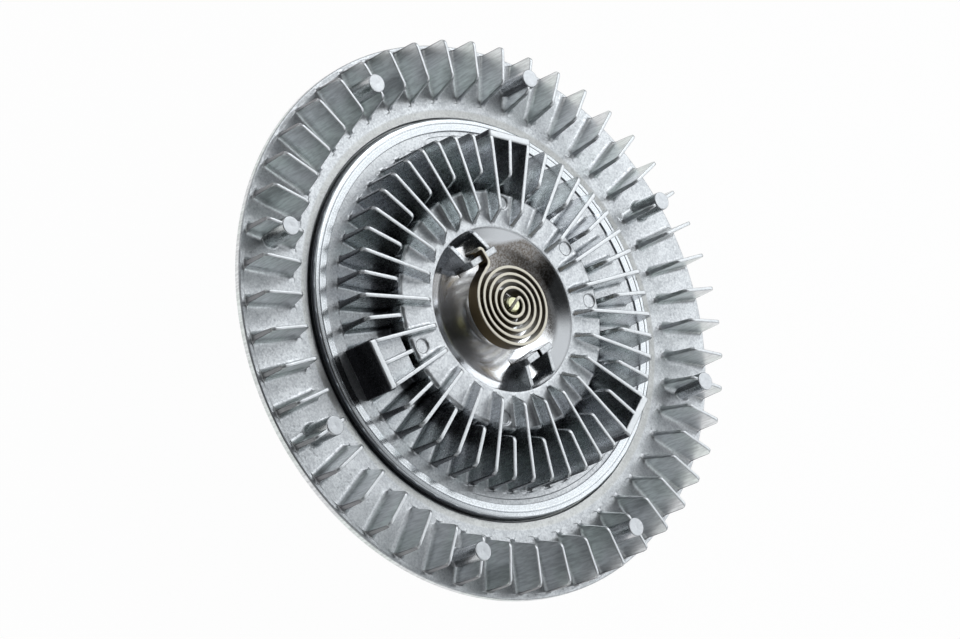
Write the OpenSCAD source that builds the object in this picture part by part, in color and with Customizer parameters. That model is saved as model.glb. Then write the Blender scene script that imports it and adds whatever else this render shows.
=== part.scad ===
// Viscous fan clutch: a finned aluminium drum that turns on a steel shaft through a ball bearing.
// A grooved clutch plate on the shaft drags it round through a film of silicone fluid, and a
// bimetal coil on the front opens the valve that feeds the film.
// The spin axis is Z, the coil faces +Z, and z = 0 is the face that bolts to the pump hub.

/* [Pump flange and shaft] */
// Diameter of the flange that bolts to the pump hub, small enough for the fan to pass over
flange_d = 63; // [60:0.5:65]
// Thickness of the pump flange
flange_t = 8; // [6:0.5:12]
// Bolt circle of the pump flange
pump_pcd = 46; // [44:0.5:48]
// Number of pump bolts
pump_bolts = 4; // [3:1:6]
// Hole for each pump bolt
pump_hole_d = 8.5; // [6.5:0.1:9]
// Bore that sits on the pump shaft's nose
pump_pilot_d = 15.9; // [12:0.1:18]
// Depth of that bore
pump_pilot_depth = 10; // [6:0.5:20]
// Diameter of the shaft's neck
neck_d = 26; // [24:0.5:28]
// Length of neck between the flange and the hub
neck_l = 14; // [10:0.5:24]

/* [Ball bearing] */
// Bore of the bearing, and so the diameter of the shaft
bearing_bore = 20; // [18:0.5:21]
// Outside diameter of the bearing
bearing_od = 47; // [46:0.5:52]
// Width of the bearing
bearing_w = 14; // [13:0.5:18]
// Diameter of each ball
ball_d = 7.94; // [6.5:0.01:8.2]
// Number of balls
ball_count = 8; // [6:1:9]
// Running clearance between a ball and its tracks
race_clear = 0.06; // [0.03:0.01:0.1]
// Thickness of the bearing's shields
shield_t = 0.6; // [0.4:0.1:1]

/* [Fan seat] */
// Diameter of the hub that centres the fan
pilot_d = 66.6; // [66:0.1:72]
// Length of the hub that the fan sits on
pilot_l = 8; // [5:0.5:10]
// Width of the shoulder that the fan sits against
fan_seat_w = 4; // [2:0.5:6]
// Bolt circle of the fan
fan_pcd = 86; // [82:0.5:92]
// Number of fan bolts
fan_bolts = 4; // [3:1:6]
// Tapping diameter of the fan bolt holes
fan_hole_d = 6.8; // [5:0.1:8.5]
// Depth of the fan bolt holes
fan_hole_depth = 12; // [8:0.5:14]
// Diameter of the boss round each fan bolt hole
fan_boss_d = 21; // [18:0.5:24]

/* [Drum casting] */
// Rear lip of the hub that stops the bearing
hub_lip_t = 2; // [1.5:0.1:3]
// Length of the hub between the bearing and the fluid chamber
throat_l = 8; // [6:0.5:12]
// Thickness of the chamber's rear wall
rear_wall_t = 5; // [4:0.5:6]
// Width of the shoulder that the cover sits on
cover_seat_w = 3.5; // [3:0.1:5]
// Thickness of the wall that is rolled over the cover
lip_wall = 3.3; // [2.4:0.1:4]
// Width of the rolled lip's bright face
lip_w = 5.2; // [4.4:0.1:6]
// Thickness of the rolled lip
lip_t = 1.3; // [0.8:0.1:2]
// Width of the channel outside the lip
channel_w = 3; // [2:0.1:5]
// Depth of that channel below the rim's front
channel_depth = 1.2; // [0.6:0.1:1.8]
// Thickness of the rim
rim_t = 3; // [2.5:0.1:5]
// How far the rim's rear face lies behind the cover's deck
rim_drop = 5; // [4.5:0.1:6]
// Rim left outside the fins
rim_edge = 2; // [1:0.1:5]
// Number of ribs behind the drum
rear_ribs = 24; // [12:4:36]
// Height of those ribs
rear_rib_h = 5; // [2:0.5:8]

/* [Rim fins] */
// Number of fins on the rim
fin_count = 48; // [24:8:56]
// Gap between the channel and the foot of a fin
fin_setback = 5.2; // [3:0.1:8]
// Radial length of a fin at its foot
fin_l = 20; // [14:0.5:30]
// Height of the fins above the rim
fin_h = 14; // [8:0.5:20]
// How far the inner edge of a fin leans outwards
fin_lean = 4; // [1:0.5:6]
// Thickness of a fin at its top
fin_t = 1.4; // [1.2:0.1:2.4]
// Draft on each side of a fin
fin_draft = 1.2; // [0.5:0.1:2]
// Radius of the fins' top corners
fin_round = 2.4; // [0.5:0.1:3]
// Number of ejector posts on the rim
post_count = 8; // [4:4:8]
// Diameter of an ejector post at its top
post_d = 7.2; // [5:0.1:9]
// How far the posts stand above the fins
post_rise = 0.4; // [0.2:0.1:1.5]

/* [Clutch plate and fluid chamber] */
// Diameter of the clutch plate
rotor_d = 137; // [132:0.5:160]
// Thickness of the clutch plate over its lands
rotor_t = 10; // [9:0.5:14]
// Thickness of its web under the grooves
rotor_web_t = 3.2; // [2.5:0.1:4.5]
// Diameter of the clutch plate's hub
rotor_hub_d = 32; // [28:0.5:40]
// Gap between the clutch plate's faces and the chamber
rotor_gap = 1; // [0.6:0.1:2]
// Gap round the clutch plate's edge, where the wiper sits
rotor_edge_gap = 2.5; // [2:0.1:4]
// Pitch of the labyrinth's lands
land_pitch = 4; // [3.5:0.1:6]
// Width of a land on the drum and on the cover
land_w = 1.5; // [1:0.1:2]
// Fluid film beside and above each land
land_gap = 0.5; // [0.3:0.05:0.8]
// Diameter of the balance holes through the clutch plate
balance_hole_d = 8; // [4:0.5:12]
// Number of balance holes
balance_holes = 6; // [3:1:8]
// Section of the cover's sealing ring
seal_d = 1.8; // [1.4:0.1:2]
// Width of the wiper along the drum's edge
wiper_w = 8; // [5:0.5:12]
// How far the wiper is let into the cover
wiper_seat = 2; // [1:0.1:2.5]

/* [Front cover] */
// Thickness of the cover under its fins
cover_t = 6; // [5.5:0.1:8]
// Thickness of the cover's edge under the rolled lip
cover_edge_t = 4; // [3:0.1:4.5]
// Diameter of the raised middle that holds the fluid
plateau_d = 94; // [86:0.5:98]
// Height of the raised middle above the deck
plateau_h = 9.5; // [9:0.5:12]
// Wall round the fluid reservoir
cover_wall = 4.5; // [3:0.1:5]
// Diameter of the bowl round the coil
bowl_d = 63.4; // [62:0.2:68]
// Diameter of the flat at the bottom of the bowl
bowl_flat_d = 24; // [20:0.5:28]
// Depth of the bowl
bowl_depth = 7; // [5:0.5:8]
// Width of the bowl's steep side
bowl_side_w = 5; // [4:0.2:6]
// Height of the bowl's steep side
bowl_side_h = 4; // [3:0.1:4.5]
// Wall under the bowl
bowl_wall = 3.5; // [3:0.1:4]
// Number of long fins, with a short one in each gap
cover_fins = 24; // [12:12:24]
// Height of the cover's fins above the deck
cover_fin_h = 15.7; // [13:0.1:18]
// Thickness of the cover's fins at their top
cover_fin_t = 1.6; // [1.2:0.1:2.4]
// Bare deck between the fins and the rolled lip
cover_fin_gap = 5; // [4:0.1:8]
// Plateau left between the bowl and the long fins
cover_fin_setback = 1.8; // [1:0.1:4]
// Thickness of the wall that closes the pocket over the return passage
pocket_wall_t = 2.8; // [2:0.1:4]
// Diameter of the return passage
return_d = 2.6; // [1.5:0.1:3]
// Rise of the thicker part of the deck
pad_rise = 0.6; // [0.3:0.1:1.2]
// Diameter of the ejector marks on the raised middle
mark_d = 5.5; // [3:0.1:6]
// Depth of the ejector marks
mark_depth = 0.5; // [0.1:0.1:0.8]

/* [Coil and valve] */
// Outside diameter of the bimetal coil
coil_d = 34.6; // [32:0.2:36]
// Width of the strip
strip_w = 6; // [4:0.1:8]
// Thickness of the strip
strip_t = 1.2; // [0.8:0.1:1.4]
// Distance between turns
coil_pitch = 2.65; // [2.5:0.05:2.8]
// Length of the tab that hooks the coil's tail behind its lug
tail_tab = 4; // [2:0.5:5]
// Diameter of the spindle in the coil
spindle_d = 6; // [4:0.1:6]
// Diameter of the spindle in the cover
journal_d = 9; // [8:0.1:12]
// Running clearance round the spindle
spindle_clear = 0.05; // [0.02:0.01:0.1]
// Section of the spindle's sealing ring
spindle_seal_d = 1.3; // [1:0.1:1.6]
// Width across a lug
lug_w = 15; // [13:0.5:18]
// Thickness of a lug's cross wall
lug_t = 2.6; // [2:0.1:4]
// Thickness of the gussets behind it
gusset_t = 2; // [1.5:0.1:3]
// Height of the flat floor between the gussets above the bowl's bottom
lug_floor_h = 3; // [2:0.1:4]
// Height of the lugs above the raised middle
lug_rise = 5.5; // [3:0.1:6]
// Gap between the coil and the lugs
lug_gap = 2.2; // [2:0.1:4]
// Thickness of the pump plate
plate_t = 1.2; // [0.8:0.1:2]
// Thickness of the valve arm
arm_t = 1; // [0.6:0.1:1.2]
// Diameter of each fluid port in the pump plate
port_d = 8; // [4:0.5:9]
// Distance of the ports from the axis
port_r = 35; // [30:0.5:36]

/* [Hidden] */
$fn = 96;

ALUMINIUM = "#b4b9bf";
STEEL = "#8d9196";
BEARING_STEEL = "#c3c6c9";
BIMETAL = "#8a7a5e";
RUBBER = "#2b2b2d";
NYLON = "#d8d0bd";
ZINC = "#b8b388";

// Small working clearances and overlaps
seat_clear = 0.05;
part_clear = 0.3;
bite = 1;
chamfer = 0.8;

// Heights, from the pump face forwards
hub_z = flange_t + neck_l;
bearing_z = hub_z + hub_lip_t;
bearing_top = bearing_z + bearing_w;
seat_z = hub_z + pilot_l;
floor_z = bearing_top + throat_l;
wall_z = floor_z - rear_wall_t;
rotor_z = floor_z + rotor_gap;
rotor_top = rotor_z + rotor_t;
cover_z = rotor_top + rotor_gap;
deck_z = cover_z + cover_t;
cover_seat_z = deck_z - cover_edge_t;
lip_top = deck_z + lip_t;
rim_z = deck_z - rim_drop;
rim_top = rim_z + rim_t;
fin_top = rim_top + fin_h;
plateau_z = deck_z + plateau_h;
cover_fin_top = deck_z + cover_fin_h;
bowl_z = plateau_z - bowl_depth;
ceiling_z = bowl_z - bowl_wall;
plate_z = cover_z;
plate_top = plate_z + plate_t;
arm_z = plate_top + part_clear;
arm_top = arm_z + arm_t;
boss_z = arm_top + part_clear;
boss_top = bowl_z + 4;
journal_top = boss_top + 0.5;
coil_z = journal_top + 3.6;
coil_top = coil_z + strip_w;
spindle_top = coil_top - part_clear;
lug_top = plateau_z + lug_rise;
lug_floor_z = bowl_z + lug_floor_h;

// Radii, from the axis outwards
shaft_r = bearing_bore / 2;
neck_r = neck_d / 2;
hub_bore_r = bearing_od / 2 + seat_clear / 2;
hub_lip_r = bearing_od / 2 - 4.5;
pilot_r = pilot_d / 2;
fan_seat_r = pilot_r + fan_seat_w;
rotor_r = rotor_d / 2;
rotor_hub_r = rotor_hub_d / 2;
chamber_r = rotor_r + rotor_edge_gap;
cover_seat_r = chamber_r + cover_seat_w;
drum_r = cover_seat_r + lip_wall;
lip_r = drum_r - lip_w;
ring_r = drum_r + channel_w;
fin_r0 = ring_r + fin_setback;
fin_r1 = fin_r0 + fin_l;
rim_r = fin_r1 + rim_edge;
post_at_r = (fin_r0 + fin_r1) / 2;
plateau_r = plateau_d / 2;
bowl_r = bowl_d / 2;
bowl_flat_r = bowl_flat_d / 2;
reservoir_r = plateau_r - cover_wall;
plate_r = reservoir_r + cover_wall * 0.9;
cover_fin_r1 = lip_r - cover_fin_gap;
long_fin_r0 = bowl_r + cover_fin_setback;
short_fin_r0 = plateau_r - bite;
spindle_r = spindle_d / 2;
journal_r = journal_d / 2;
spindle_bore_r = journal_r + spindle_clear;
spindle_boss_r = spindle_bore_r + 4.5;
lug_r = coil_d / 2 + lug_gap;

// Labyrinth of concentric lands
land_r0 = plateau_r + 1;
land_count = floor((rotor_r - land_w - 2 * land_gap - land_r0) / land_pitch) + 1;
groove_depth = (rotor_t - rotor_web_t) / 2;
land_h = groove_depth + rotor_gap - land_gap;

// Sealing ring under the cover's edge
seal_at_r = chamber_r + cover_seat_w / 2;
seal_groove_w = seal_d + 0.2;
seal_groove_depth = seal_d + seat_clear;

// Angles of the cast features
pocket_angle = -180 / cover_fins;
lug_angles = [90, 270];
mark_angles = [-7.5, 52.5, 157.5, 187.5, 232.5];
pad_from = 44;
pad_sweep = 213;

// Spiral of the coil: the tail is at coil_angle, and the turns close in anticlockwise
coil_angle = 270;
coil_r = coil_d / 2 - strip_t / 2;
tail_bend = 3;
spiral_from = atan2(tail_bend, coil_r);
coil_inner_r = spindle_r + strip_t / 2 + 0.5;
spiral_to = 360 * (coil_r - coil_inner_r) / coil_pitch;
tang_angle = coil_angle + spiral_to + 15;
tail_r = lug_r + lug_t + 1.6 + strip_t / 2;

// Unit vector along v
function unit(v) = v / norm(v);

// Points that round the corner p, between a and b, with radius r in n steps
function corner(a, p, b, r, n) =
    r == 0 ? [p] :
    let (
        u = unit(a - p),
        v = unit(b - p),
        half = acos(u * v) / 2,
        c = p + unit(u + v) * r / sin(half),
        s = p + u * r / tan(half) - c,
        e = p + v * r / tan(half) - c,
        from = atan2(s.y, s.x),
        turn = (atan2(e.y, e.x) - from + 540) % 360 - 180
    )
    [for (i = [0:n]) c + r * [cos(from + turn * i / n), sin(from + turn * i / n)]];

// Closed outline of [x, y, corner radius] points
function rounded(points, n = 4) =
    let (count = len(points))
    [for (i = [0:count - 1])
        let (
            a = points[(i + count - 1) % count],
            p = points[i],
            b = points[(i + 1) % count]
        )
        each corner([a.x, a.y], [p.x, p.y], [b.x, b.y], p.z, n)];

// Inner radius of labyrinth land i
function land_r(i) = land_r0 + i * land_pitch;

// Lands seen along a revolved face, from the axis outwards: dz is +height or -height
function lands(z, dz) =
    [for (i = [0:land_count - 1])
        each [[land_r(i), z, 0], [land_r(i), z + dz, 0],
              [land_r(i) + land_w, z + dz, 0], [land_r(i) + land_w, z, 0]]];

// Grooves of the clutch plate that take those lands
function grooves(z, dz) =
    [for (i = [0:land_count - 1])
        let (g0 = land_r(i) - land_gap, g1 = land_r(i) + land_w + land_gap)
        each [[g0, z, 0], [g0, z + dz, 0], [g1, z + dz, 0], [g1, z, 0]]];

// Copies of the children every turn / count degrees
module ring_of(count, from = 0) {
    for (i = [0:count - 1]) rotate(from + 360 * i / count) children();
}

// A cast blade along +X with an outline in (radius, height) that thins towards its top
module blade(outline, z_foot, z_top, t_top) {
    t_foot = t_top + 2 * abs(z_top - z_foot) * tan(fin_draft);
    intersection() {
        rotate([90, 0, 0]) linear_extrude(t_foot, center = true) polygon(outline);
        rotate([90, 0, 90]) linear_extrude(rim_r)
            polygon([[-t_foot / 2, z_foot], [t_foot / 2, z_foot], [t_top / 2, z_top], [-t_top / 2, z_top]]);
    }
}

module rim_fin() {
    foot = rim_top - bite;
    lean = fin_lean * (fin_h + bite) / fin_h;
    blade(rounded([
        [fin_r0 + fin_lean - lean, foot, 0],
        [fin_r1, foot, 0],
        [fin_r1, fin_top, fin_round],
        [fin_r0 + fin_lean, fin_top, fin_round]
    ]), foot, fin_top, fin_t);
}

module ejector_post() {
    translate([post_at_r, 0, rim_top - bite])
        cylinder(d1 = post_d + 2 * fin_h * tan(fin_draft), d2 = post_d, h = fin_h + post_rise + bite);
}

module rear_rib() {
    blade(rounded([
        [pilot_r - bite, wall_z + bite, 0],
        [drum_r - 6, wall_z + bite, 0],
        [drum_r - 6 - rear_rib_h, wall_z - rear_rib_h, 2],
        [pilot_r - bite, wall_z - rear_rib_h, 0]
    ]), wall_z + bite, wall_z - rear_rib_h, fin_t);
}

module drum_body() {
    rotate_extrude() polygon(rounded(concat(
        [
            [pilot_r - chamfer, hub_z, 0],
            [hub_lip_r, hub_z, 0],
            [hub_lip_r, bearing_z, 0],
            [hub_bore_r, bearing_z, 0],
            [hub_bore_r, floor_z - chamfer, 0],
            [hub_bore_r + chamfer, floor_z, 0]
        ],
        lands(floor_z, land_h),
        [
            [chamber_r, floor_z, 0],
            [chamber_r, cover_seat_z, 0],
            [seal_at_r - seal_groove_w / 2, cover_seat_z, 0],
            [seal_at_r - seal_groove_w / 2, cover_seat_z - seal_groove_depth, 0],
            [seal_at_r + seal_groove_w / 2, cover_seat_z - seal_groove_depth, 0],
            [seal_at_r + seal_groove_w / 2, cover_seat_z, 0],
            [cover_seat_r, cover_seat_z, 0],
            [cover_seat_r, deck_z, 0],
            [lip_r, deck_z, 0],
            [lip_r, lip_top, lip_t * 0.4],
            [drum_r, lip_top, lip_t * 0.4],
            [drum_r, rim_top - channel_depth, 0.5],
            [ring_r - 0.8, rim_top - channel_depth, 0.8],
            [ring_r + 1, rim_top, 1],
            [rim_r, rim_top, rim_t * 0.25],
            [rim_r, rim_z, rim_t * 0.25],
            [drum_r, rim_z, 4],
            [drum_r, wall_z, 5],
            [fan_seat_r, wall_z, 2],
            [fan_seat_r, seat_z, 0],
            [pilot_r, seat_z, 0],
            [pilot_r, hub_z + chamfer, 0]
        ]
    )));
}

module housing() {
    color(ALUMINIUM) difference() {
        union() {
            drum_body();
            ring_of(fin_count) rim_fin();
            ring_of(post_count) ejector_post();
            ring_of(rear_ribs, 180 / rear_ribs) rear_rib();
            ring_of(fan_bolts, 180 / fan_bolts)
                translate([fan_pcd / 2, 0, seat_z]) cylinder(d = fan_boss_d, h = wall_z - seat_z + bite);
        }
        ring_of(fan_bolts, 180 / fan_bolts)
            translate([fan_pcd / 2, 0, seat_z - bite]) cylinder(d = fan_hole_d, h = fan_hole_depth + bite);
    }
}

module cover_body() {
    rotate_extrude() polygon(rounded(concat(
        [
            [spindle_bore_r, boss_z, 0],
            [spindle_boss_r, boss_z, 0],
            [spindle_boss_r, ceiling_z, 0],
            [bowl_r - 8, ceiling_z, 2],
            [bowl_r, plateau_z - cover_wall, 2],
            [reservoir_r, plateau_z - cover_wall, 2],
            [reservoir_r, plate_top, 0],
            [plate_r + seat_clear, plate_top, 0],
            [plate_r + seat_clear, cover_z, 0]
        ],
        lands(cover_z, -land_h),
        [
            [chamber_r - seat_clear, cover_z, 0],
            [chamber_r - seat_clear, cover_seat_z, 0],
            [cover_seat_r - seat_clear, cover_seat_z, 0],
            [cover_seat_r - seat_clear, deck_z, 0],
            [plateau_r + 0.5, deck_z, 2],
            [plateau_r - 0.5, plateau_z, 1.5],
            [bowl_r + 0.6, plateau_z, 0],
            [bowl_r, plateau_z - 0.4, 0],
            [bowl_r - bowl_side_w, plateau_z - bowl_side_h, 3],
            [bowl_flat_r, bowl_z, 12],
            [spindle_boss_r, bowl_z, 1],
            [spindle_boss_r, boss_top, 0.6],
            [spindle_bore_r, boss_top, 0]
        ]
    )));
}

module long_fin() {
    foot = deck_z - bite;
    blade(rounded([
        [long_fin_r0, plateau_z - bite, 0],
        [plateau_r - cover_wall, plateau_z - bite, 0],
        [plateau_r - cover_wall, foot, 0],
        [cover_fin_r1, foot, 0],
        [cover_fin_r1, cover_fin_top, fin_round],
        [long_fin_r0 + fin_lean, cover_fin_top, fin_round]
    ]), foot, cover_fin_top, cover_fin_t);
}

module short_fin(r1) {
    foot = deck_z - bite;
    lean = fin_lean + bite;
    blade(rounded([
        [short_fin_r0, foot, 0],
        [r1, foot, 0],
        [r1, cover_fin_top, fin_round],
        [short_fin_r0 + lean, cover_fin_top, fin_round]
    ]), foot, cover_fin_top, cover_fin_t);
}

// Wall across the outer ends of two long fins, over the return passage
module pocket_wall() {
    r = cover_fin_r1 * cos(180 / cover_fins) - bite;
    half = r * tan(180 / cover_fins);
    translate([r - pocket_wall_t, -half, deck_z - bite])
        cube([pocket_wall_t, 2 * half, cover_fin_h + bite]);
}

// Outer end of a lug's gussets, under the edge of the bowl
function lug_end() = sqrt(pow(bowl_r - 0.6, 2) - pow(lug_w / 2, 2));

// Lug in the bowl: a cross wall on two gussets, with a slot for the coil's tail and a flat floor behind
module lug() {
    difference() {
        union() {
            translate([lug_r, -lug_w / 2, bowl_z - bite])
                cube([lug_t, lug_w, lug_top - bowl_z + bite]);
            for (side = [-1, 1])
                translate([0, side * (lug_w - gusset_t) / 2, 0]) rotate([90, 0, 0])
                    linear_extrude(gusset_t, center = true) polygon([
                        [lug_r + lug_t / 2, bowl_z - bite], [lug_end(), bowl_z - bite], [lug_end(), plateau_z],
                        [lug_r + lug_t + 1, plateau_z + lug_rise / 2], [lug_r + lug_t / 2, plateau_z + lug_rise / 2]
                    ]);
            translate([lug_r + lug_t / 2, -lug_w / 2 + gusset_t / 2, bowl_z - bite])
                cube([lug_end() - lug_r - lug_t, lug_w - gusset_t, lug_floor_h + bite]);
        }
        translate([lug_r - bite, -strip_t / 2 - seat_clear, coil_z - seat_clear])
            cube([lug_t + 2 * bite, strip_t + 2 * seat_clear, strip_w]);
    }
}

// Space cut out of the bowl's side above that floor
module lug_space() {
    translate([lug_r + lug_t, -lug_w / 2 + gusset_t, lug_floor_z])
        cube([lug_end() - lug_r - lug_t * 1.5, lug_w - 2 * gusset_t, plateau_h]);
}

module front_cover() {
    wall_r = cover_fin_r1 * cos(180 / cover_fins) - bite;
    color(ALUMINIUM) difference() {
        union() {
            difference() {
                cover_body();
                for (a = lug_angles) rotate(a) lug_space();
            }
            ring_of(cover_fins) long_fin();
            for (i = [0:cover_fins - 1])
                rotate(pocket_angle + 360 * i / cover_fins) short_fin(i == 0 ? wall_r : cover_fin_r1);
            rotate(pocket_angle) pocket_wall();
            rotate(pad_from) rotate_extrude(angle = pad_sweep)
                translate([plateau_r - bite, deck_z - bite])
                    square([lip_r - 1.9 - plateau_r + bite, bite + pad_rise]);
            for (a = lug_angles) rotate(a) lug();
        }
        for (a = mark_angles)
            rotate(a) translate([(bowl_r + plateau_r) / 2 + 3, 0, plateau_z - mark_depth])
                cylinder(d = mark_d, h = bite, $fn = 48);
        rotate(pocket_angle) {
            wiper_block(seat_clear, chamber_r);
            translate([reservoir_r - bite, 0, return_z()]) rotate([0, 90, 0])
                cylinder(d = return_d, h = return_r() - reservoir_r + bite, $fn = 32);
            translate([return_r(), 0, cover_z - bite])
                cylinder(d = return_d, h = return_z() - cover_z + bite, $fn = 32);
        }
    }
}

// Height and outer end of the drilled return passage
function return_z() = cover_z + cover_t / 2;
function return_r() = land_r(land_count - 1) + land_w + land_gap + return_d / 2;

module cover_seal_ring() {
    color(RUBBER) rotate_extrude()
        translate([seal_at_r, cover_seat_z - seal_groove_depth + seal_d / 2]) circle(d = seal_d, $fn = 32);
}

// Ring sector between the clutch plate's edge and the radius r1, grown by a clearance
module wiper_block(clear, r1) {
    foot = rotor_z + rotor_gap;
    r0 = rotor_r + part_clear - clear;
    intersection() {
        rotate_extrude() translate([r0, foot]) square([r1 - r0, cover_z + wiper_seat - foot]);
        translate([0, -wiper_w / 2 - clear, foot])
            cube([rim_r, wiper_w + 2 * clear, rotor_t + cover_t]);
    }
}

module wiper() {
    color(NYLON) rotate(pocket_angle) wiper_block(0, chamber_r - part_clear);
}

// Round sheet that closes the reservoir, dished in the middle to clear the spindle's head
module pump_plate() {
    dish_r = journal_r + 2.5;
    color(STEEL) difference() {
        rotate_extrude() polygon([
            [0, plate_z - plate_t], [dish_r, plate_z - plate_t], [dish_r + plate_t, plate_z],
            [plate_r, plate_z], [plate_r, plate_top],
            [dish_r + plate_t / 2, plate_top], [dish_r - plate_t / 2, plate_z], [0, plate_z]
        ]);
        for (side = [0, 180])
            rotate(pocket_angle + 90 + side) translate([port_r, 0, plate_z - bite])
                cylinder(d = port_d, h = plate_t + 2 * bite, $fn = 48);
    }
}

// Arm that covers both ports of the pump plate when the clutch is cold
module valve_arm() {
    pad_d = port_d + 3;
    color(STEEL) translate([0, 0, arm_z]) rotate(pocket_angle + 90) linear_extrude(arm_t) difference() {
        union() {
            circle(r = journal_r + 2);
            square([2 * port_r, pad_d * 0.6], center = true);
            for (side = [-1, 1]) translate([side * port_r, 0]) circle(d = pad_d);
        }
        circle(r = tenon_r() + seat_clear / 2);
    }
}

function tenon_r() = journal_r - 2;

module valve_spindle() {
    groove_z = (boss_z + boss_top) / 2;
    groove_w = spindle_seal_d + 0.2;
    groove_r = journal_r - spindle_seal_d;
    head_z = arm_z - 0.6;
    color(ZINC) difference() {
        rotate_extrude() polygon([
            [0, head_z], [journal_r - 1, head_z], [journal_r - 1, arm_z], [tenon_r(), arm_z],
            [tenon_r(), arm_top], [journal_r, arm_top],
            [journal_r, groove_z - groove_w / 2], [groove_r, groove_z - groove_w / 2],
            [groove_r, groove_z + groove_w / 2], [journal_r, groove_z + groove_w / 2],
            [journal_r, journal_top], [spindle_r, journal_top],
            [spindle_r, spindle_top - 0.5], [spindle_r - 0.5, spindle_top], [0, spindle_top]
        ]);
        rotate(tang_angle) translate([-coil_r, -strip_t / 2 - seat_clear, coil_z - part_clear])
            cube([2 * coil_r, strip_t + 2 * seat_clear, strip_w]);
    }
}

module spindle_seal_ring() {
    color(RUBBER) rotate_extrude()
        translate([journal_r - spindle_seal_d / 2, (boss_z + boss_top) / 2])
            circle(d = spindle_seal_d, $fn = 24);
}

// Point of the coil's spiral, a degrees round from its tail
function spiral(a) = (coil_r - coil_pitch * a / 360) * [cos(coil_angle + a), sin(coil_angle + a)];

// Middle of the strip: tab, tail, bend, turns, and the tang through the spindle
function strip_path() =
    let (
        along = [cos(coil_angle), sin(coil_angle)],
        across = [-sin(coil_angle), cos(coil_angle)],
        bend = [for (a = [0:15:90])
            (coil_r + tail_bend * (1 - sin(a))) * along + tail_bend * (1 - cos(a)) * across],
        tab = [for (a = [90:-30:0])
            (tail_r - strip_t * (1 - sin(a))) * along + strip_t * (1 - cos(a)) * across],
        turns = [for (a = [spiral_from + 15:15:spiral_to]) spiral(a)],
        tang = [cos(tang_angle), sin(tang_angle)]
    )
    concat([tail_r * along + tail_tab * across], tab, bend, turns,
        [tang * coil_inner_r, tang * (spindle_r + seat_clear), -tang * (spindle_r - strip_t / 2)]);

// Outline of a strip of thickness t along a path
function strip_outline(path, t) =
    let (
        last = len(path) - 1,
        normals = [for (i = [0:last])
            let (d = unit(path[min(i + 1, last)] - path[max(i - 1, 0)])) [-d.y, d.x]]
    )
    concat([for (i = [0:last]) path[i] + normals[i] * t / 2],
        [for (i = [last:-1:0]) path[i] - normals[i] * t / 2]);

module bimetal_coil() {
    color(BIMETAL) translate([0, 0, coil_z]) linear_extrude(strip_w)
        polygon(strip_outline(strip_path(), strip_t));
}

// Disc with concentric grooves on both faces, pressed on the shaft
module clutch_plate() {
    middle = (rotor_z + rotor_top) / 2;
    web = rotor_web_t / 2 + 0.4;
    front = plate_z - plate_t - rotor_gap;
    inner = land_r0 - 2;
    front_grooves = grooves(rotor_top, -groove_depth);
    color(STEEL) difference() {
        rotate_extrude() polygon([for (p = concat(
            [
                [shaft_r, bearing_top], [rotor_hub_r, bearing_top], [rotor_hub_r, middle - web],
                [inner, middle - web], [inner, rotor_z]
            ],
            grooves(rotor_z, groove_depth),
            [[rotor_r, rotor_z], [rotor_r, rotor_top]],
            [for (i = [len(front_grooves) - 1:-1:0]) front_grooves[i]],
            [
                [inner, rotor_top], [inner, middle + web], [rotor_hub_r, middle + web],
                [rotor_hub_r, front], [shaft_r, front]
            ]
        )) [p.x, p.y]]);
        ring_of(balance_holes) translate([(rotor_hub_r + inner) / 2, 0, rotor_z])
            cylinder(d = balance_hole_d, h = rotor_t, $fn = 48);
    }
}

module drive_shaft() {
    front = plate_z - plate_t - rotor_gap;
    color(STEEL) difference() {
        rotate_extrude() polygon(rounded([
            [0, 0, 0], [flange_d / 2, 0, chamfer], [flange_d / 2, flange_t, chamfer],
            [neck_r, flange_t, 2], [neck_r, bearing_z, 0], [shaft_r, bearing_z, 0],
            [shaft_r, front, chamfer], [0, front, 0]
        ]));
        translate([0, 0, -bite]) cylinder(d = pump_pilot_d, h = pump_pilot_depth + bite);
        ring_of(pump_bolts, 180 / pump_bolts) translate([pump_pcd / 2, 0, -bite])
            cylinder(d = pump_hole_d, h = flange_t + 2 * bite);
    }
}

// Bearing sizes: the balls run on a circle midway between the bore and the outside
ball_at_r = (bearing_bore + bearing_od) / 4;
bearing_mid = (bearing_z + bearing_top) / 2;
inner_ring_r = ball_at_r - ball_d * 0.32;
outer_ring_r = ball_at_r + ball_d * 0.32;
shield_r = outer_ring_r + 1.2;
shield_step = 1.5;

// One ring of the bearing: a section with the ball track cut into it
module race(points) {
    color(BEARING_STEEL) rotate_extrude() difference() {
        polygon(points);
        translate([ball_at_r, bearing_mid]) circle(d = ball_d + 2 * race_clear, $fn = 64);
    }
}

module bearing_inner_ring() {
    race([[shaft_r, bearing_z], [inner_ring_r, bearing_z], [inner_ring_r, bearing_top], [shaft_r, bearing_top]]);
}

module bearing_outer_ring() {
    r = bearing_od / 2;
    race([
        [r, bearing_z], [r, bearing_top], [shield_r, bearing_top], [shield_r, bearing_top - shield_step],
        [outer_ring_r, bearing_top - shield_step], [outer_ring_r, bearing_z + shield_step],
        [shield_r, bearing_z + shield_step], [shield_r, bearing_z]
    ]);
}

module bearing_balls() {
    color(BEARING_STEEL) ring_of(ball_count)
        translate([ball_at_r, 0, bearing_mid]) sphere(d = ball_d, $fn = 32);
}

module bearing_cage() {
    half = ball_d * 0.6;
    color(ZINC) difference() {
        rotate_extrude() translate([ball_at_r - ball_d * 0.12, bearing_mid - half])
            square([ball_d * 0.24, 2 * half]);
        ring_of(ball_count) translate([ball_at_r, 0, bearing_mid]) sphere(d = ball_d + 0.3, $fn = 32);
    }
}

module shield(z) {
    color(BEARING_STEEL) rotate_extrude() translate([inner_ring_r + part_clear, z])
        square([shield_r - seat_clear - inner_ring_r - part_clear, shield_t]);
}

module bearing_front_shield() {
    shield(bearing_top - shield_step);
}

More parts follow.
